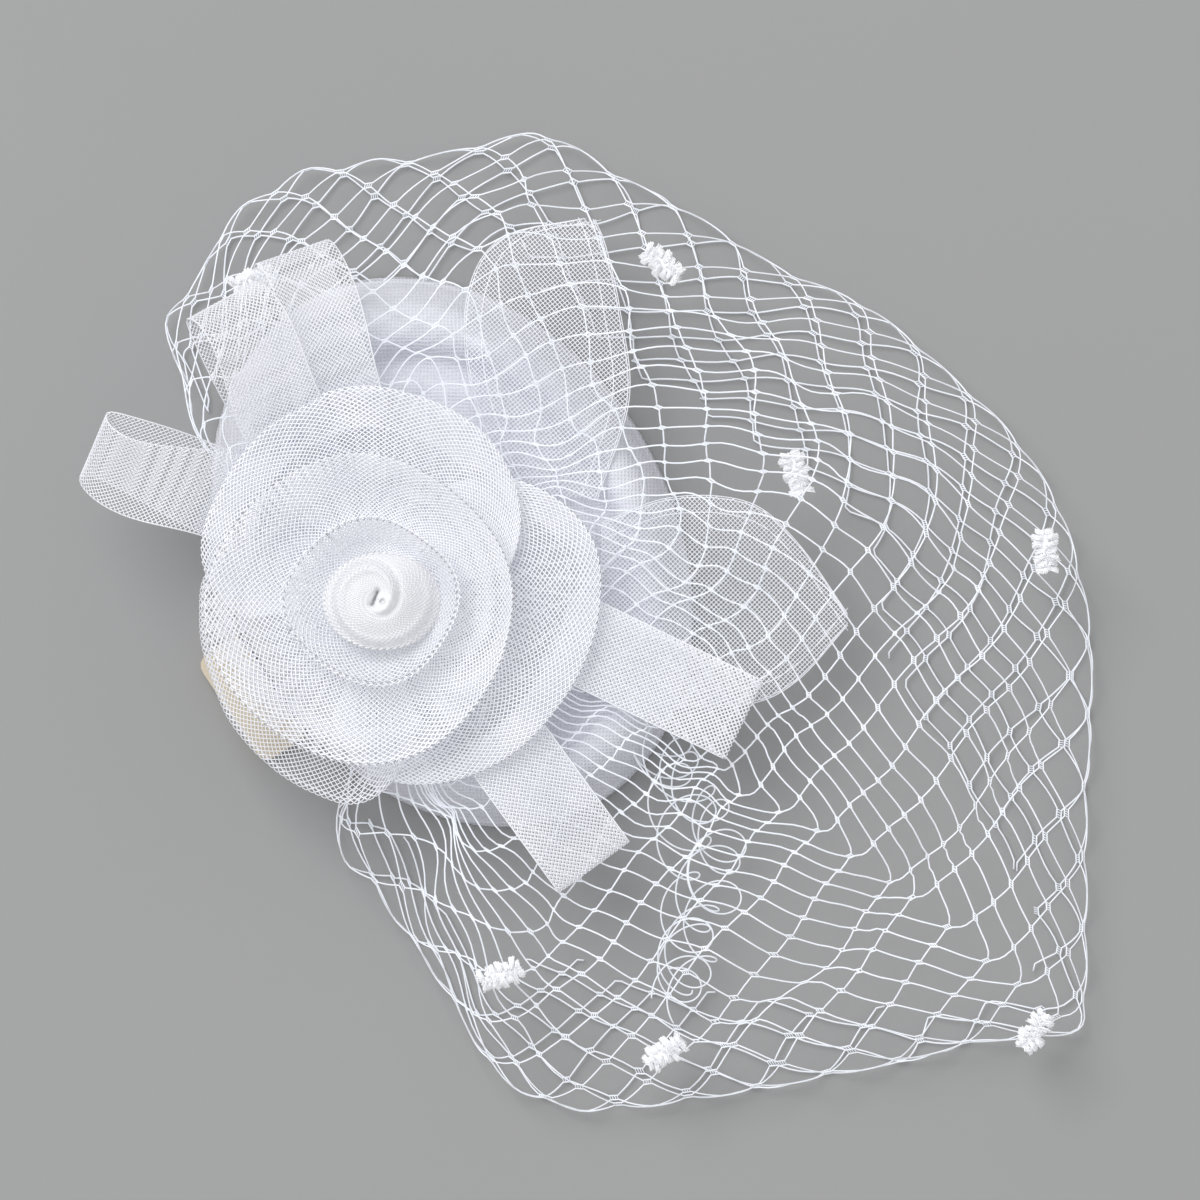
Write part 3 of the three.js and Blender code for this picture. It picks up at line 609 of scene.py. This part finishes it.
def inward(b, bearing):
    """How far in on the plan a strand lies that is b along the cloth from the fold. The cloth stands steep
    there, and where the fold is pulled tight its strands bunch along it, as a bell curve of b."""
    steep = 1 - STEEP * np.exp(-np.abs(b) / STEEP_DEPTH) * (b > 0)
    bunched = 1 - np.interp(bearing, *zip(*TIGHT)) * np.exp(-((b / BUNCH_WIDTH) ** 2))
    return np.abs(b) * steep * bunched


def puff_height(bearing, out):
    """Height of the puff at a share out to the fold: a smooth step from the top of the base to the crest."""
    crest = np.maximum(np.interp(bearing, *zip(*PUFF)) * VEIL_TOP, OVER_BASE)
    return OVER_BASE + (crest - OVER_BASE) * smooth_step(3 * out - 1)


def veil_surface(a, b):
    """The net at a along the strip and b across it: from the fold, b above 0 goes over the puff to the
    gather, and b below 0 goes back in along the table. The puff falls to the fold as the root of one less the
    sixth power of the way out, and sines of the place and the creases make it uneven."""
    fold, gather, bearing = veil_way(a)
    span = np.linalg.norm(gather - fold, axis=-1)
    share = np.clip(inward(b, bearing) / span, 0, 1)
    out = 1 - share
    top = np.clip(b / FOLD_EASE, 0, 1)
    skew = SKEW * np.sin(math.pi * share) * top
    along = (gather - fold) / span[..., None]
    sideways = np.stack([along[..., 1], -along[..., 0]], -1)
    spot = fold + (gather - fold) * share[..., None] + sideways * skew[..., None]
    x, y = spot[..., 0], spot[..., 1]
    loose = top * smooth_step(share * 5) * smooth_step(out * 4) + (1 - np.clip(b / FOLD_EASE + 1, 0, 1)) * 0.8
    rumple = CRUMPLE * smooth_step((share - 0.35) * 4) * smooth_step(out * 6) * top
    dx, dy, dz = crease_shift(x, y)
    x = x + (dx * top + DRIFT * wander(x, y, 17.0, 1.0)) * loose + rumple * wander(x, y, 9.5, 4.0)
    y = y + (dy * top + DRIFT * wander(y, x, 15.0, 2.0)) * loose + rumple * wander(y, x, 9.0, 6.0)
    puffed = smooth_step(3 * out - 1) * (dz + RIPPLE * wander(x, y, 12.0, 3.0))
    fall = np.sqrt(np.maximum(0, 1 - out ** 6))
    over = FOLD_HEIGHT + (puff_height(bearing, out) - FOLD_HEIGHT + puffed) * fall
    settled = TABLE_LAYER + (FOLD_HEIGHT - TABLE_LAYER) * (1 - smooth_step(-b / 7))
    under = settled + 0.6 * (1 + wander(x, y, 9.0, 5.0)) * smooth_step(-b / 12)
    return in_frame(x, y, np.where(b > 0, over, under))


def on_veil(a, b):
    """True where the strip has cloth: out to the gather on top, and in to the free hem underneath."""
    fold, gather, bearing = veil_way(a)
    span = np.linalg.norm(gather - fold, axis=-1)
    hem = np.interp(bearing, *zip(*HEM))
    return (a >= 0) & (a <= VEIL_ROUND) & (inward(b, bearing) < span * (b > 0) + hem * (b <= 0))


columns = round(VEIL_ROUND / DIAMOND_LONG)
pitch = VEIL_ROUND / columns / 2
row = DIAMOND_SHORT / 2
strand = np.arange(-OUTER_STRANDS, INNER_STRANDS)[:, None]
knot = np.arange(2 * columns + 1)
bends = np.array([-KNOT_HALF / pitch, KNOT_HALF / pitch, 0.31, 0.5, 0.69])
steps_along = (knot[:, None] + bends).reshape(1, -1)
climb = np.interp(bends, [KNOT_HALF / pitch, 1 - KNOT_HALF / pitch], [0, 1])
high = (knot[None, :] + strand) % 2
rise = (high[..., None] + (1 - 2 * high[..., None]) * climb).reshape(len(strand), -1)
strand_a = np.broadcast_to(steps_along * pitch, rise.shape)
strand_b = strand * row + KNOT_GAP / 2 + (row - KNOT_GAP) * rise
strand_up = normals_of(veil_surface, strand_a, strand_b, NORMAL_STEP)
halves = on_veil(strand_a, strand_b).reshape(len(strand), len(knot), len(bends))[..., 3:4]
joints = halves | np.concatenate([halves[:, :1], halves[:, :-1]], axis=1)
strand_there = np.concatenate([joints, joints, halves, halves, halves], axis=-1).reshape(len(strand), -1)
strands = tubes(veil_surface(strand_a, strand_b), strand_up, STRAND * MM, STRAND_SIDES, strand_there)
knot_row, knot_column = np.nonzero((knot[None, :] + strand) % 2 == 0)
bar_a = (knot_column[:, None] * pitch + np.array(KNOT_BARS)).reshape(-1, 1) + np.zeros((1, 2))
bar_middle = np.repeat(strand[knot_row, 0] * row, len(KNOT_BARS))[:, None]
bar_b = bar_middle + np.array([[-KNOT_GAP / 2, KNOT_GAP / 2]])
bar_up = normals_of(veil_surface, bar_a, bar_b, NORMAL_STEP)
bar_there = np.repeat(on_veil(bar_a, bar_b).all(1, keepdims=True), 2, axis=1)
bars = tubes(veil_surface(bar_a, bar_b), bar_up, BAR * MM, THREAD_SIDES, bar_there)
curl_share = np.linspace(0, 1, CURL_STEPS)[None, :]
curl_phase = np.linspace(0, 2 * math.pi, CURL_STRANDS, endpoint=False)[:, None]
curl_route = smooth_line(CURL_LINE, CURL_STEPS)[None]
curl_turn = 2 * math.pi * CURL_TURNS * curl_share + curl_phase * 2.3
curl_reach = CURL_RADIUS * (0.8 + 0.35 * np.sin(5.3 * curl_share * math.pi + curl_phase))
curl_sway = CURL_SPREAD * np.sin(curl_phase * 1.4 + 4 * curl_share)
curl_x = curl_route[..., 0] + curl_reach * np.cos(curl_turn) + curl_sway
curl_y = curl_route[..., 1] + curl_reach * np.sin(curl_turn)
curl_z = CURL_HEIGHT + CURL_BOUNCE * np.sin(curl_turn * 0.5 + curl_phase)
curl_line = in_frame(curl_x, curl_y, curl_z)
curl_up = np.broadcast_to(np.array([0.0, 0.0, 1.0]), curl_line.shape)
curls = tubes(curl_line, curl_up, STRAND * MM, STRAND_SIDES, np.ones(curl_line.shape[:2], bool))
net_finish, net_shader = finish_of("veil_net", NET, scale=120.0, roughness=(0.35, 0.55))
paint_light(net_shader, *NET_PAINTED_LIGHT)
veil = joined_mesh("veil_net", [strands, bars, curls], net_finish)
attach(veil, "root")
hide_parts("veil")


# The dots.
# Chenille tufts twisted on to the net: a short cord with locks of cut pile standing out on two sides, which
# turn a little from lock to lock.
DOTS = ("dot_top_left", "dot_top", "dot_middle", "dot_right", "dot_corner", "dot_front", "dot_front_left")
DOT_LOCKS = 7
LOCK_FIBRES = 80
LOCK_TURN = 0.55
LOCK_FAN = 1.15
LOCK_HALF_THICK = 0.42
LOCK_SPLAY = 0.3
DOT_HALF_LENGTH = 5.0
CORD = 0.8
CORD_SIDES = 8
FIBRE_LENGTH = 3.9
FIBRE = 0.16
# A fibre's points: share of its length, how far each has dropped sideways, and thickness as a share of FIBRE.
FIBRE_SHARES = np.array([0.0, 0.55, 1.0])
FIBRE_DROPS = np.array([0.0, 0.15, 0.5])
FIBRE_TAPER = np.array([0.9, 1.0, 0.8])
PILE = ((0.84, 0.845, 0.87, 1), (0.92, 0.92, 0.94, 1))
# Painted light: an even emission on the chenille fibres, which lightens the shade between the locks.
PILE_PAINTED_LIGHT = ((0.95, 0.97, 1.0, 1), 0.19)
pile_finish, pile_shader = finish_of("chenille", PILE, scale=300.0, roughness=(0.85, 1.0))
pile_shader.inputs["Sheen Weight"].default_value = 0.4
paint_light(pile_shader, *PILE_PAINTED_LIGHT)
for number, dot_name in enumerate(DOTS):
    seed = np.random.default_rng(number)
    own = np.array([v.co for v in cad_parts[dot_name].data.vertices]) / MM
    centre = (own.min(0) + own.max(0)) / 2
    spread = np.linalg.eigh(np.cov((own - centre).T))
    axis, side = spread[1][:, 2], spread[1][:, 1]
    side = side - axis * (side @ axis)
    third = np.cross(axis, side)
    count = DOT_LOCKS * LOCK_FIBRES * 2
    lock = np.arange(count) % DOT_LOCKS
    lengthwise = (lock + 0.5) / DOT_LOCKS * 2 - 1
    opposite = np.arange(count) // DOT_LOCKS % 2
    turn = lock * LOCK_TURN + math.pi * opposite + seed.uniform(-LOCK_FAN, LOCK_FAN, count)
    place = lengthwise * DOT_HALF_LENGTH + seed.uniform(-LOCK_HALF_THICK, LOCK_HALF_THICK, count)
    root = centre + axis * place[:, None]
    splay = LOCK_SPLAY * lengthwise + 0.14 * np.sin(turn * 3 + lock) + seed.uniform(-0.12, 0.12, count)
    outward = side * np.cos(turn)[:, None] + third * np.sin(turn)[:, None] + axis * splay[:, None]
    sideways = side * np.sin(turn)[:, None] - third * np.cos(turn)[:, None]
    long = FIBRE_LENGTH * (0.9 + 0.1 * seed.random(count)) * (1 - 0.25 * np.abs(lengthwise) ** 3)
    long = long * (0.86 + 0.14 * np.sin(lock * 2.4 + number))
    line = root[:, None] + outward[:, None] * (long[:, None] * FIBRE_SHARES)[..., None]
    line = line + sideways[:, None] * FIBRE_DROPS[None, :, None]
    along = np.broadcast_to(axis, line.shape)
    fibres = tubes(line * MM, along, FIBRE * MM * FIBRE_TAPER, THREAD_SIDES, np.ones(line.shape[:2], bool))
    cord_line = (centre + axis * (np.linspace(-1, 1, 8) * DOT_HALF_LENGTH * 1.02)[:, None])[None]
    cord_up = np.broadcast_to(side, cord_line.shape)
    cord = tubes(cord_line * MM, cord_up, CORD * MM, CORD_SIDES, np.ones(cord_line.shape[:2], bool))
    dot = joined_mesh(dot_name + "_pile", [fibres, cord], pile_finish)
    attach(dot, "root")
    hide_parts(dot_name)


# The loops and tails.
# Lengths of crin ribbon that come out from under the rose, bend over and run back above themselves. The loops
# stand open, the tails lie nearly flat on the veil.
RIBBON_CELL = 1.25
RIBBON_WIDTH = 21.6
RIBBON_THREAD = 0.135
RIBBON_ON_NET = 28.6
RIBBON_ON_BASE = 25.0
RIBBON_OVER_NET = 1.9
RIBBON_PLY = 1.55
# Bearing and distance from the rose, heading, length, how far it opens, roll, seat, plies beneath and the
# lift of its end.
RIBBONS = {
    "loop_left": {"from": (146, 40.6), "heading": 154.5, "length": 40.2, "open": 10.8, "roll": 38,
                  "seat": RIBBON_ON_BASE, "plies": 0, "lift": 0},
    "loop_top": {"from": (100, 41.8), "heading": 110, "length": 46.9, "open": 9.0, "roll": -30,
                 "seat": RIBBON_ON_NET, "plies": 0, "lift": 0},
    "loop_middle": {"from": (118, 45.2), "heading": 120, "length": 37.7, "open": 10.0, "roll": -28,
                    "seat": RIBBON_ON_NET, "plies": 2, "lift": 9.0},
    "tail_right": {"from": (-10, 44.7), "heading": -26, "length": 52.1, "open": 3.5, "roll": 0,
                   "seat": RIBBON_ON_NET, "plies": 0, "lift": 0},
    "tail_front": {"from": (-49, 43.7), "heading": -54, "length": 42.4, "open": 3.5, "roll": 0,
                   "seat": RIBBON_ON_NET, "plies": 0, "lift": 0},
}
rib_crin, rib_shader = finish_of("crin_ribbon", CRIN, scale=90.0, roughness=(0.25, 0.4))
rib_shader.inputs["Specular IOR Level"].default_value = 0.6
# Painted light: the ribbons' threads get the same even emission as the crin.
paint_light(rib_shader, *CRIN_PAINTED_LIGHT)
outline_bearing = np.degrees(np.arctan2(outline[:, 1] - ROSE[1], outline[:, 0] - ROSE[0]))
outline_reach = np.hypot(*(outline - ROSE).T)
round_order = np.argsort(outline_bearing)


def net_height(x, y):
    """Height of the puffed net at a place, from its bearing and its share of the way out to the fold."""
    bearing = np.degrees(np.arctan2(y - ROSE[1], x - ROSE[0]))
    reach = np.interp(bearing, outline_bearing[round_order], outline_reach[round_order])
    out = np.clip(np.hypot(x - ROSE[0], y - ROSE[1]) / reach, 0, 1)
    return FOLD_HEIGHT + (puff_height(bearing, out) - FOLD_HEIGHT) * np.sqrt(1 - out ** 6)


def ribbon_shape(row, way, b):
    """A ribbon at way 0 to 2, out to its bend at 1 and back above itself, and b across it. Out is a cosine of
    the way, and the upper run rises as a sine; the whole rolls over towards its bend."""
    out = row["length"] / 2 * (1 - np.cos(math.pi * way))
    back = np.clip(way - 1, -1, 1)
    lower = 0.35 * row["open"] * way ** 4
    upper = row["open"] * (0.35 * (1 - back) + 0.85 * np.sin(math.pi * back)) + RIBBON_PLY * back
    opened = np.where(back < 0, lower, upper)
    share = out / row["length"]
    roll = math.radians(row["roll"]) * smooth_step(share)
    side = b - RIBBON_WIDTH / 2
    heading = math.radians(row["heading"])
    bearing = math.radians(row["from"][0])
    shift = side * np.cos(roll) + opened * np.sin(roll)
    x = ROSE[0] + row["from"][1] * math.cos(bearing) + out * math.cos(heading) - shift * math.sin(heading)
    y = ROSE[1] + row["from"][1] * math.sin(bearing) + out * math.sin(heading) + shift * math.cos(heading)
    seat = row["seat"]
    if seat == RIBBON_ON_NET:
        seat = np.maximum(seat, net_height(x, y) + RIBBON_OVER_NET)
    height = seat + row["plies"] * RIBBON_PLY + row["lift"] * smooth_step(share) + opened * np.cos(roll)
    rolled = RIBBON_WIDTH / 2 * np.abs(np.sin(roll)) - side * np.sin(roll)
    cup = 0.7 * np.cos(side / 5.2 + 2 * way) * smooth_step(share * 2)
    return in_frame(x, y, height + rolled + cup)


for name, row in RIBBONS.items():
    ways = np.linspace(0, 2, 400)
    middle_line = ribbon_shape(row, ways, np.full_like(ways, RIBBON_WIDTH / 2)) / MM
    run = np.concatenate([[0], np.cumsum(np.linalg.norm(np.diff(middle_line, axis=0), axis=1))])

    def ribbon_surface(a, b, row=row, run=run, ways=ways):
        """The ribbon by its real length along the middle."""
        return ribbon_shape(row, np.interp(a, run, ways), b)

    braid = crin_sets(ribbon_surface, run[-1], RIBBON_WIDTH, RIBBON_CELL, rims=[0.0, RIBBON_WIDTH],
                      thread=RIBBON_THREAD)
    piece = joined_mesh(name + "_crin", braid, rib_crin)
    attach(piece, "root")
    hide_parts(name)


# The root of the rose.
# The ends of petals, rings, loops and veil are bunched and stitched into one pleated stump on the base.
ROOT_RADIUS = 11.7
ROOT_PLEATS = 34
ROOT_STEPS_ROUND = 272
ROOT_LEVELS = 14
root_low, root_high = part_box("rose_root")


def root_surface(turn, share):
    """A stump: the radius waves with the pleats and narrows a little at its stitched waist."""
    radius = ROOT_RADIUS * (1 - 0.12 * np.sin(math.pi * share)) * (0.96 + 0.04 * np.cos(ROOT_PLEATS * turn))
    height = root_low.z / MM + (root_high.z - root_low.z) / MM * share
    return in_frame(ROSE[0] + radius * np.cos(turn), ROSE[1] + radius * np.sin(turn), height)


def closed_grid(surface, around, levels):
    """A tube of a surface of turn and share, its two ends closed by fans to a middle point."""
    turn = np.linspace(0, 2 * math.pi, around, endpoint=False)[None, :] + np.zeros((levels, 1))
    share = np.linspace(0, 1, levels)[:, None] + np.zeros((1, around))
    grid = surface(turn, share)
    number = np.arange(levels * around).reshape(levels, around)
    after = np.roll(number, -1, axis=1)
    quads = np.stack([number[:-1], after[:-1], after[1:], number[1:]], axis=-1).reshape(-1, 4)
    total = levels * around
    low_fan = np.stack([np.full(around, total), after[0], number[0]], axis=-1)
    high_fan = np.stack([np.full(around, total + 1), number[-1], after[-1]], axis=-1)
    points = np.concatenate([grid.reshape(-1, 3), grid[:1].mean(1), grid[-1:].mean(1)])
    return points, [quads, low_fan, high_fan]


root_mesh = closed_grid(root_surface, ROOT_STEPS_ROUND, ROOT_LEVELS)
stump = mesh_piece("rose_root_crin", *root_mesh, rib_crin)
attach(stump, "root")
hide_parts("rose_root")


# The petals and rings of the rose.
# Wide crin, gathered to the root along one edge. The other edge is turned under, so that each rim is double
# and shows a herringbone. The petals lie lowest, then the two rings rise like bowls round the bud.
PETAL_REACH = 52.0
SEWN_RADIUS = 11.0
RIM_WAVE = 0.7
UNDER_DROP = 1.1
ROLL_DROP = 0.35
# So little past the whole length that only what lies beyond its end comes round to its start again.
ONCE_ROUND = 1.0000001
# The braid: its cell, thread, lean and how far it turns under. The form: reach, rise of the rim over the
# level, and how far out it lies flat. The rows: bearing, then reach and lift of the rim, as shares.
ROUNDS = {
    "petal_right": {"cell": 2.0, "thread": 0.17, "lean": 0.55, "under": 8.0,
                    "reach": PETAL_REACH, "rise": 3.0, "level": 34.9, "flat": 12.0,
                    "rows": ((-112, 0.62, 0), (-92, 0.84, 0), (-56, 0.98, 0.9), (-32, 1.02, 1), (-2, 1.05, 1),
                             (18, 1.04, 0.9), (42, 0.86, 0.6), (60, 0.62, 0.3))},
    "petal_lower": {"cell": 1.75, "thread": 0.145, "lean": 0.75, "under": 1.6,
                    "reach": PETAL_REACH, "rise": 13.0, "level": 36.4, "flat": 12.0,
                    "rows": ((150, 0.6, 0.2), (170, 0.82, 0), (187, 0.86, -0.6), (206, 0.9, -0.8),
                             (222, 0.955, -1), (250, 1.0, -0.7), (268, 0.96, 0), (288, 0.62, 0))},
    "petal_top": {"cell": 2.0, "thread": 0.17, "lean": 0.55, "under": 10.0,
                  "reach": PETAL_REACH, "rise": 3.0, "level": 38.0, "flat": 21.5,
                  "rows": ((10, 0.6, 0.3), (32, 0.8, 0.8), (56, 0.94, 1), (81, 0.98, 1), (102, 1, 1),
                           (141, 0.94, 1), (168, 0.86, 0.8), (190, 0.62, 0.4))},
    "ring_outer": {"cell": 2.0, "thread": 0.17, "lean": 0.55, "under": 9.0,
                   "reach": 38.5, "rise": 7.0, "level": 39.55, "flat": 21.5,
                   "rows": ((-180, 1.12, 0.9), (-110, 1.1, 0.85), (-40, 0.94, 1), (0, 0.86, 1.1),
                            (60, 0.86, 1.1), (120, 0.98, 1), (180, 1.12, 0.9))},
    "ring_inner": {"cell": 1.8, "thread": 0.17, "lean": 0.55, "under": 6.0,
                   "reach": 21.5, "rise": 8.0, "level": 41.1, "flat": 13.0,
                   "rows": ((-180, 1.1, 1), (-90, 1, 0.9), (0, 0.92, 1), (90, 0.9, 1.1), (180, 1.1, 1))},
}
for name, round_ in ROUNDS.items():
    first, last = round_["rows"][0][0], round_["rows"][-1][0]
    ring = last - first == 360
    length = math.radians(last - first) * round_["reach"]
    wide = round_["reach"] - SEWN_RADIUS
    whole = wide + round_["under"]

    def round_surface(a, b, round_=round_, first=first, length=length, wide=wide):
        """From the sewn edge the crin runs out flat, climbs to its rim as a power of the way out, and past
        the rim turns back in underneath itself. Its lift and its reach wave a little round the rim."""
        bearing = first + (round_["rows"][-1][0] - first) * np.mod(a, length * ONCE_ROUND) / length
        way = np.radians(bearing)
        rim = column(round_["rows"], bearing, 1) * round_["reach"] + RIM_WAVE * np.sin(way * 4 + 1)
        turned = np.maximum(b - wide, 0)
        share = np.clip(b / wide, 0, 1)
        radius = SEWN_RADIUS + (rim - SEWN_RADIUS) * share - turned
        climb = np.clip((radius - round_["flat"]) / (rim - round_["flat"]), 0, None) ** 1.5
        wave = 0.8 * np.sin(way * 5 + round_["level"]) + 0.5 * np.sin(way * 9 + 2 * round_["level"])
        rolled = ROLL_DROP * np.exp(-((turned - 0.2) / 0.6) ** 2) * (b > wide - 0.5)
        height = round_["level"] + column(round_["rows"], bearing, 2) * round_["rise"] * climb \
            + wave * share ** 3 - UNDER_DROP * smooth_step(turned / 1.5) - rolled
        return in_frame(ROSE[0] + radius * np.cos(way), ROSE[1] + radius * np.sin(way), height)

    braid = crin_sets(round_surface, length, whole, round_["cell"], rims=[whole], closed=ring,
                      thread=round_["thread"], lean=round_["lean"])
    piece = joined_mesh(name + "_crin", braid, crin)
    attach(piece, "root")
    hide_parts(name)


# The bud.
# The heart of the rose: a band of crin rolled up tight on itself, so many layers deep that it looks solid.
# Its lip runs round in a spiral, and a small dark slit is left at the middle.
BUD_CENTRE = (-16.4, -12.4)
BUD_SPREAD = (14.6, 12.0)
BUD_STEPS_ROUND = 120
BUD_CELL = 1.7
BUD_THREAD = 0.165
BUD_LEAN = 0.65
CORE_SINK = 0.85
BUD_WHITES = ((0.83, 0.835, 0.86, 1), (0.88, 0.884, 0.905, 1))
# Painted light: a faint even emission on the bud, which lightens its shade.
BUD_PAINTED_LIGHT = ((0.98, 0.99, 1.0, 1), 0.1)
# The dome: how far its top lies below the solid's, how fast it falls, and the dimple's depth and breadth.
DOME_SINK = 1.6
DOME_FALL = 0.038
DIMPLE = (1.4, 3.2)
SKIRT_FALL = 14
BUD_SLIT = ((-18.9, -13.2), (-17.6, -10.0))
SLIT_DEPTH = 3.5
SLIT_BREADTH = 0.55
BUD_SPIRAL = (-18.9, -12.6)
# Bearing; radius of the lip from the middle of the spiral; how high it stands.
BUD_LIPS = (
    (-90, 1.6, 0), (-60, 2.4, 0.7), (-10, 4.0, 1.3), (40, 6.2, 1.4), (90, 8.2, 1.3), (140, 8.2, 1.2),
    (180, 8.0, 1.2), (225, 8.2, 1.0), (270, 9.2, 0.9), (315, 11.0, 0.8), (360, 13.6, 0.6), (420, 15.0, 0),
)
bud_low, bud_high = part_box("rose_bud")
bud_finish, bud_shader = finish_of("crin_bud", BUD_WHITES, scale=90.0, roughness=(0.4, 0.55))
paint_light(bud_shader, *BUD_PAINTED_LIGHT)


def bud_height(x, y):
    """A dome with a slit pressed into it and a spiral lip: for each turn of the lip a bell curve of the
    distance from it, less another just outside it."""
    dx, dy = x - BUD_SPIRAL[0], y - BUD_SPIRAL[1]
    radius = np.hypot(dx, dy)
    bearing = np.degrees(np.arctan2(dy, dx))
    dimple = DIMPLE[0] * np.exp(-((radius / DIMPLE[1]) ** 2))
    height = bud_high.z / MM - DOME_SINK - DOME_FALL * radius ** 2 - dimple
    for turn in (0, 360, -360):
        at = bearing + turn
        here = (at > BUD_LIPS[0][0]) & (at < BUD_LIPS[-1][0])
        beyond = radius - column(BUD_LIPS, at, 1)
        stand = column(BUD_LIPS, at, 2) * here
        lip = np.exp(-((beyond / 0.9) ** 2)) - 0.9 * np.exp(-(((beyond - 1.6) / 0.8) ** 2))
        height = height + stand * lip
    (x0, y0), (x1, y1) = BUD_SLIT
    slit = (x1 - x0) ** 2 + (y1 - y0) ** 2
    along = np.clip(((x - x0) * (x1 - x0) + (y - y0) * (y1 - y0)) / slit, 0, 1)
    away = np.hypot(x - x0 - along * (x1 - x0), y - y0 - along * (y1 - y0))
    return height - SLIT_DEPTH * np.exp(-((away / SLIT_BREADTH) ** 2))


def bud_place(way, out, sink):
    """A point of the bud at a way round in radians and a share out from its middle, sunk by some millimetres.
    Past the edge it goes on straight down."""
    share = np.minimum(out, 1)
    x = BUD_CENTRE[0] + BUD_SPREAD[0] * share * np.cos(way)
    y = BUD_CENTRE[1] + BUD_SPREAD[1] * share * np.sin(way)
    low = bud_low.z / MM + 0.3
    height = bud_height(x, y) - sink - np.maximum(out - 1, 0) * SKIRT_FALL
    return in_frame(x, y, np.maximum(height, low - sink * 0.5))


def bud_threads(a, b):
    """The top layer of crin, by millimetres round the edge and out from the middle."""
    return bud_place(a / BUD_SPREAD[0], 0.05 + b / BUD_SPREAD[0], 0)


bud_way = np.linspace(0, 2 * math.pi, BUD_STEPS_ROUND, endpoint=False)[None, :]
bud_out = np.concatenate([np.linspace(0.04, 1, 44), np.linspace(1.03, 1.3, 5)])[:, None]
bud_rings = bud_place(bud_way, bud_out, CORE_SINK)
bud_foot = bud_rings[-1:].mean(1)
bud_foot[:, 2] = bud_low.z + 0.1 * MM
bud_core = capped_rings(bud_rings, bud_rings[:1].mean(1), bud_foot)
bud_cloth = crin_sets(bud_threads, 2 * math.pi * BUD_SPREAD[0], BUD_SPREAD[0] * 1.08, BUD_CELL, closed=True,
                      thread=BUD_THREAD, lean=BUD_LEAN)
bud = joined_mesh("rose_bud_crin", [bud_core] + bud_cloth, bud_finish)
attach(bud, "root")
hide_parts("rose_bud")
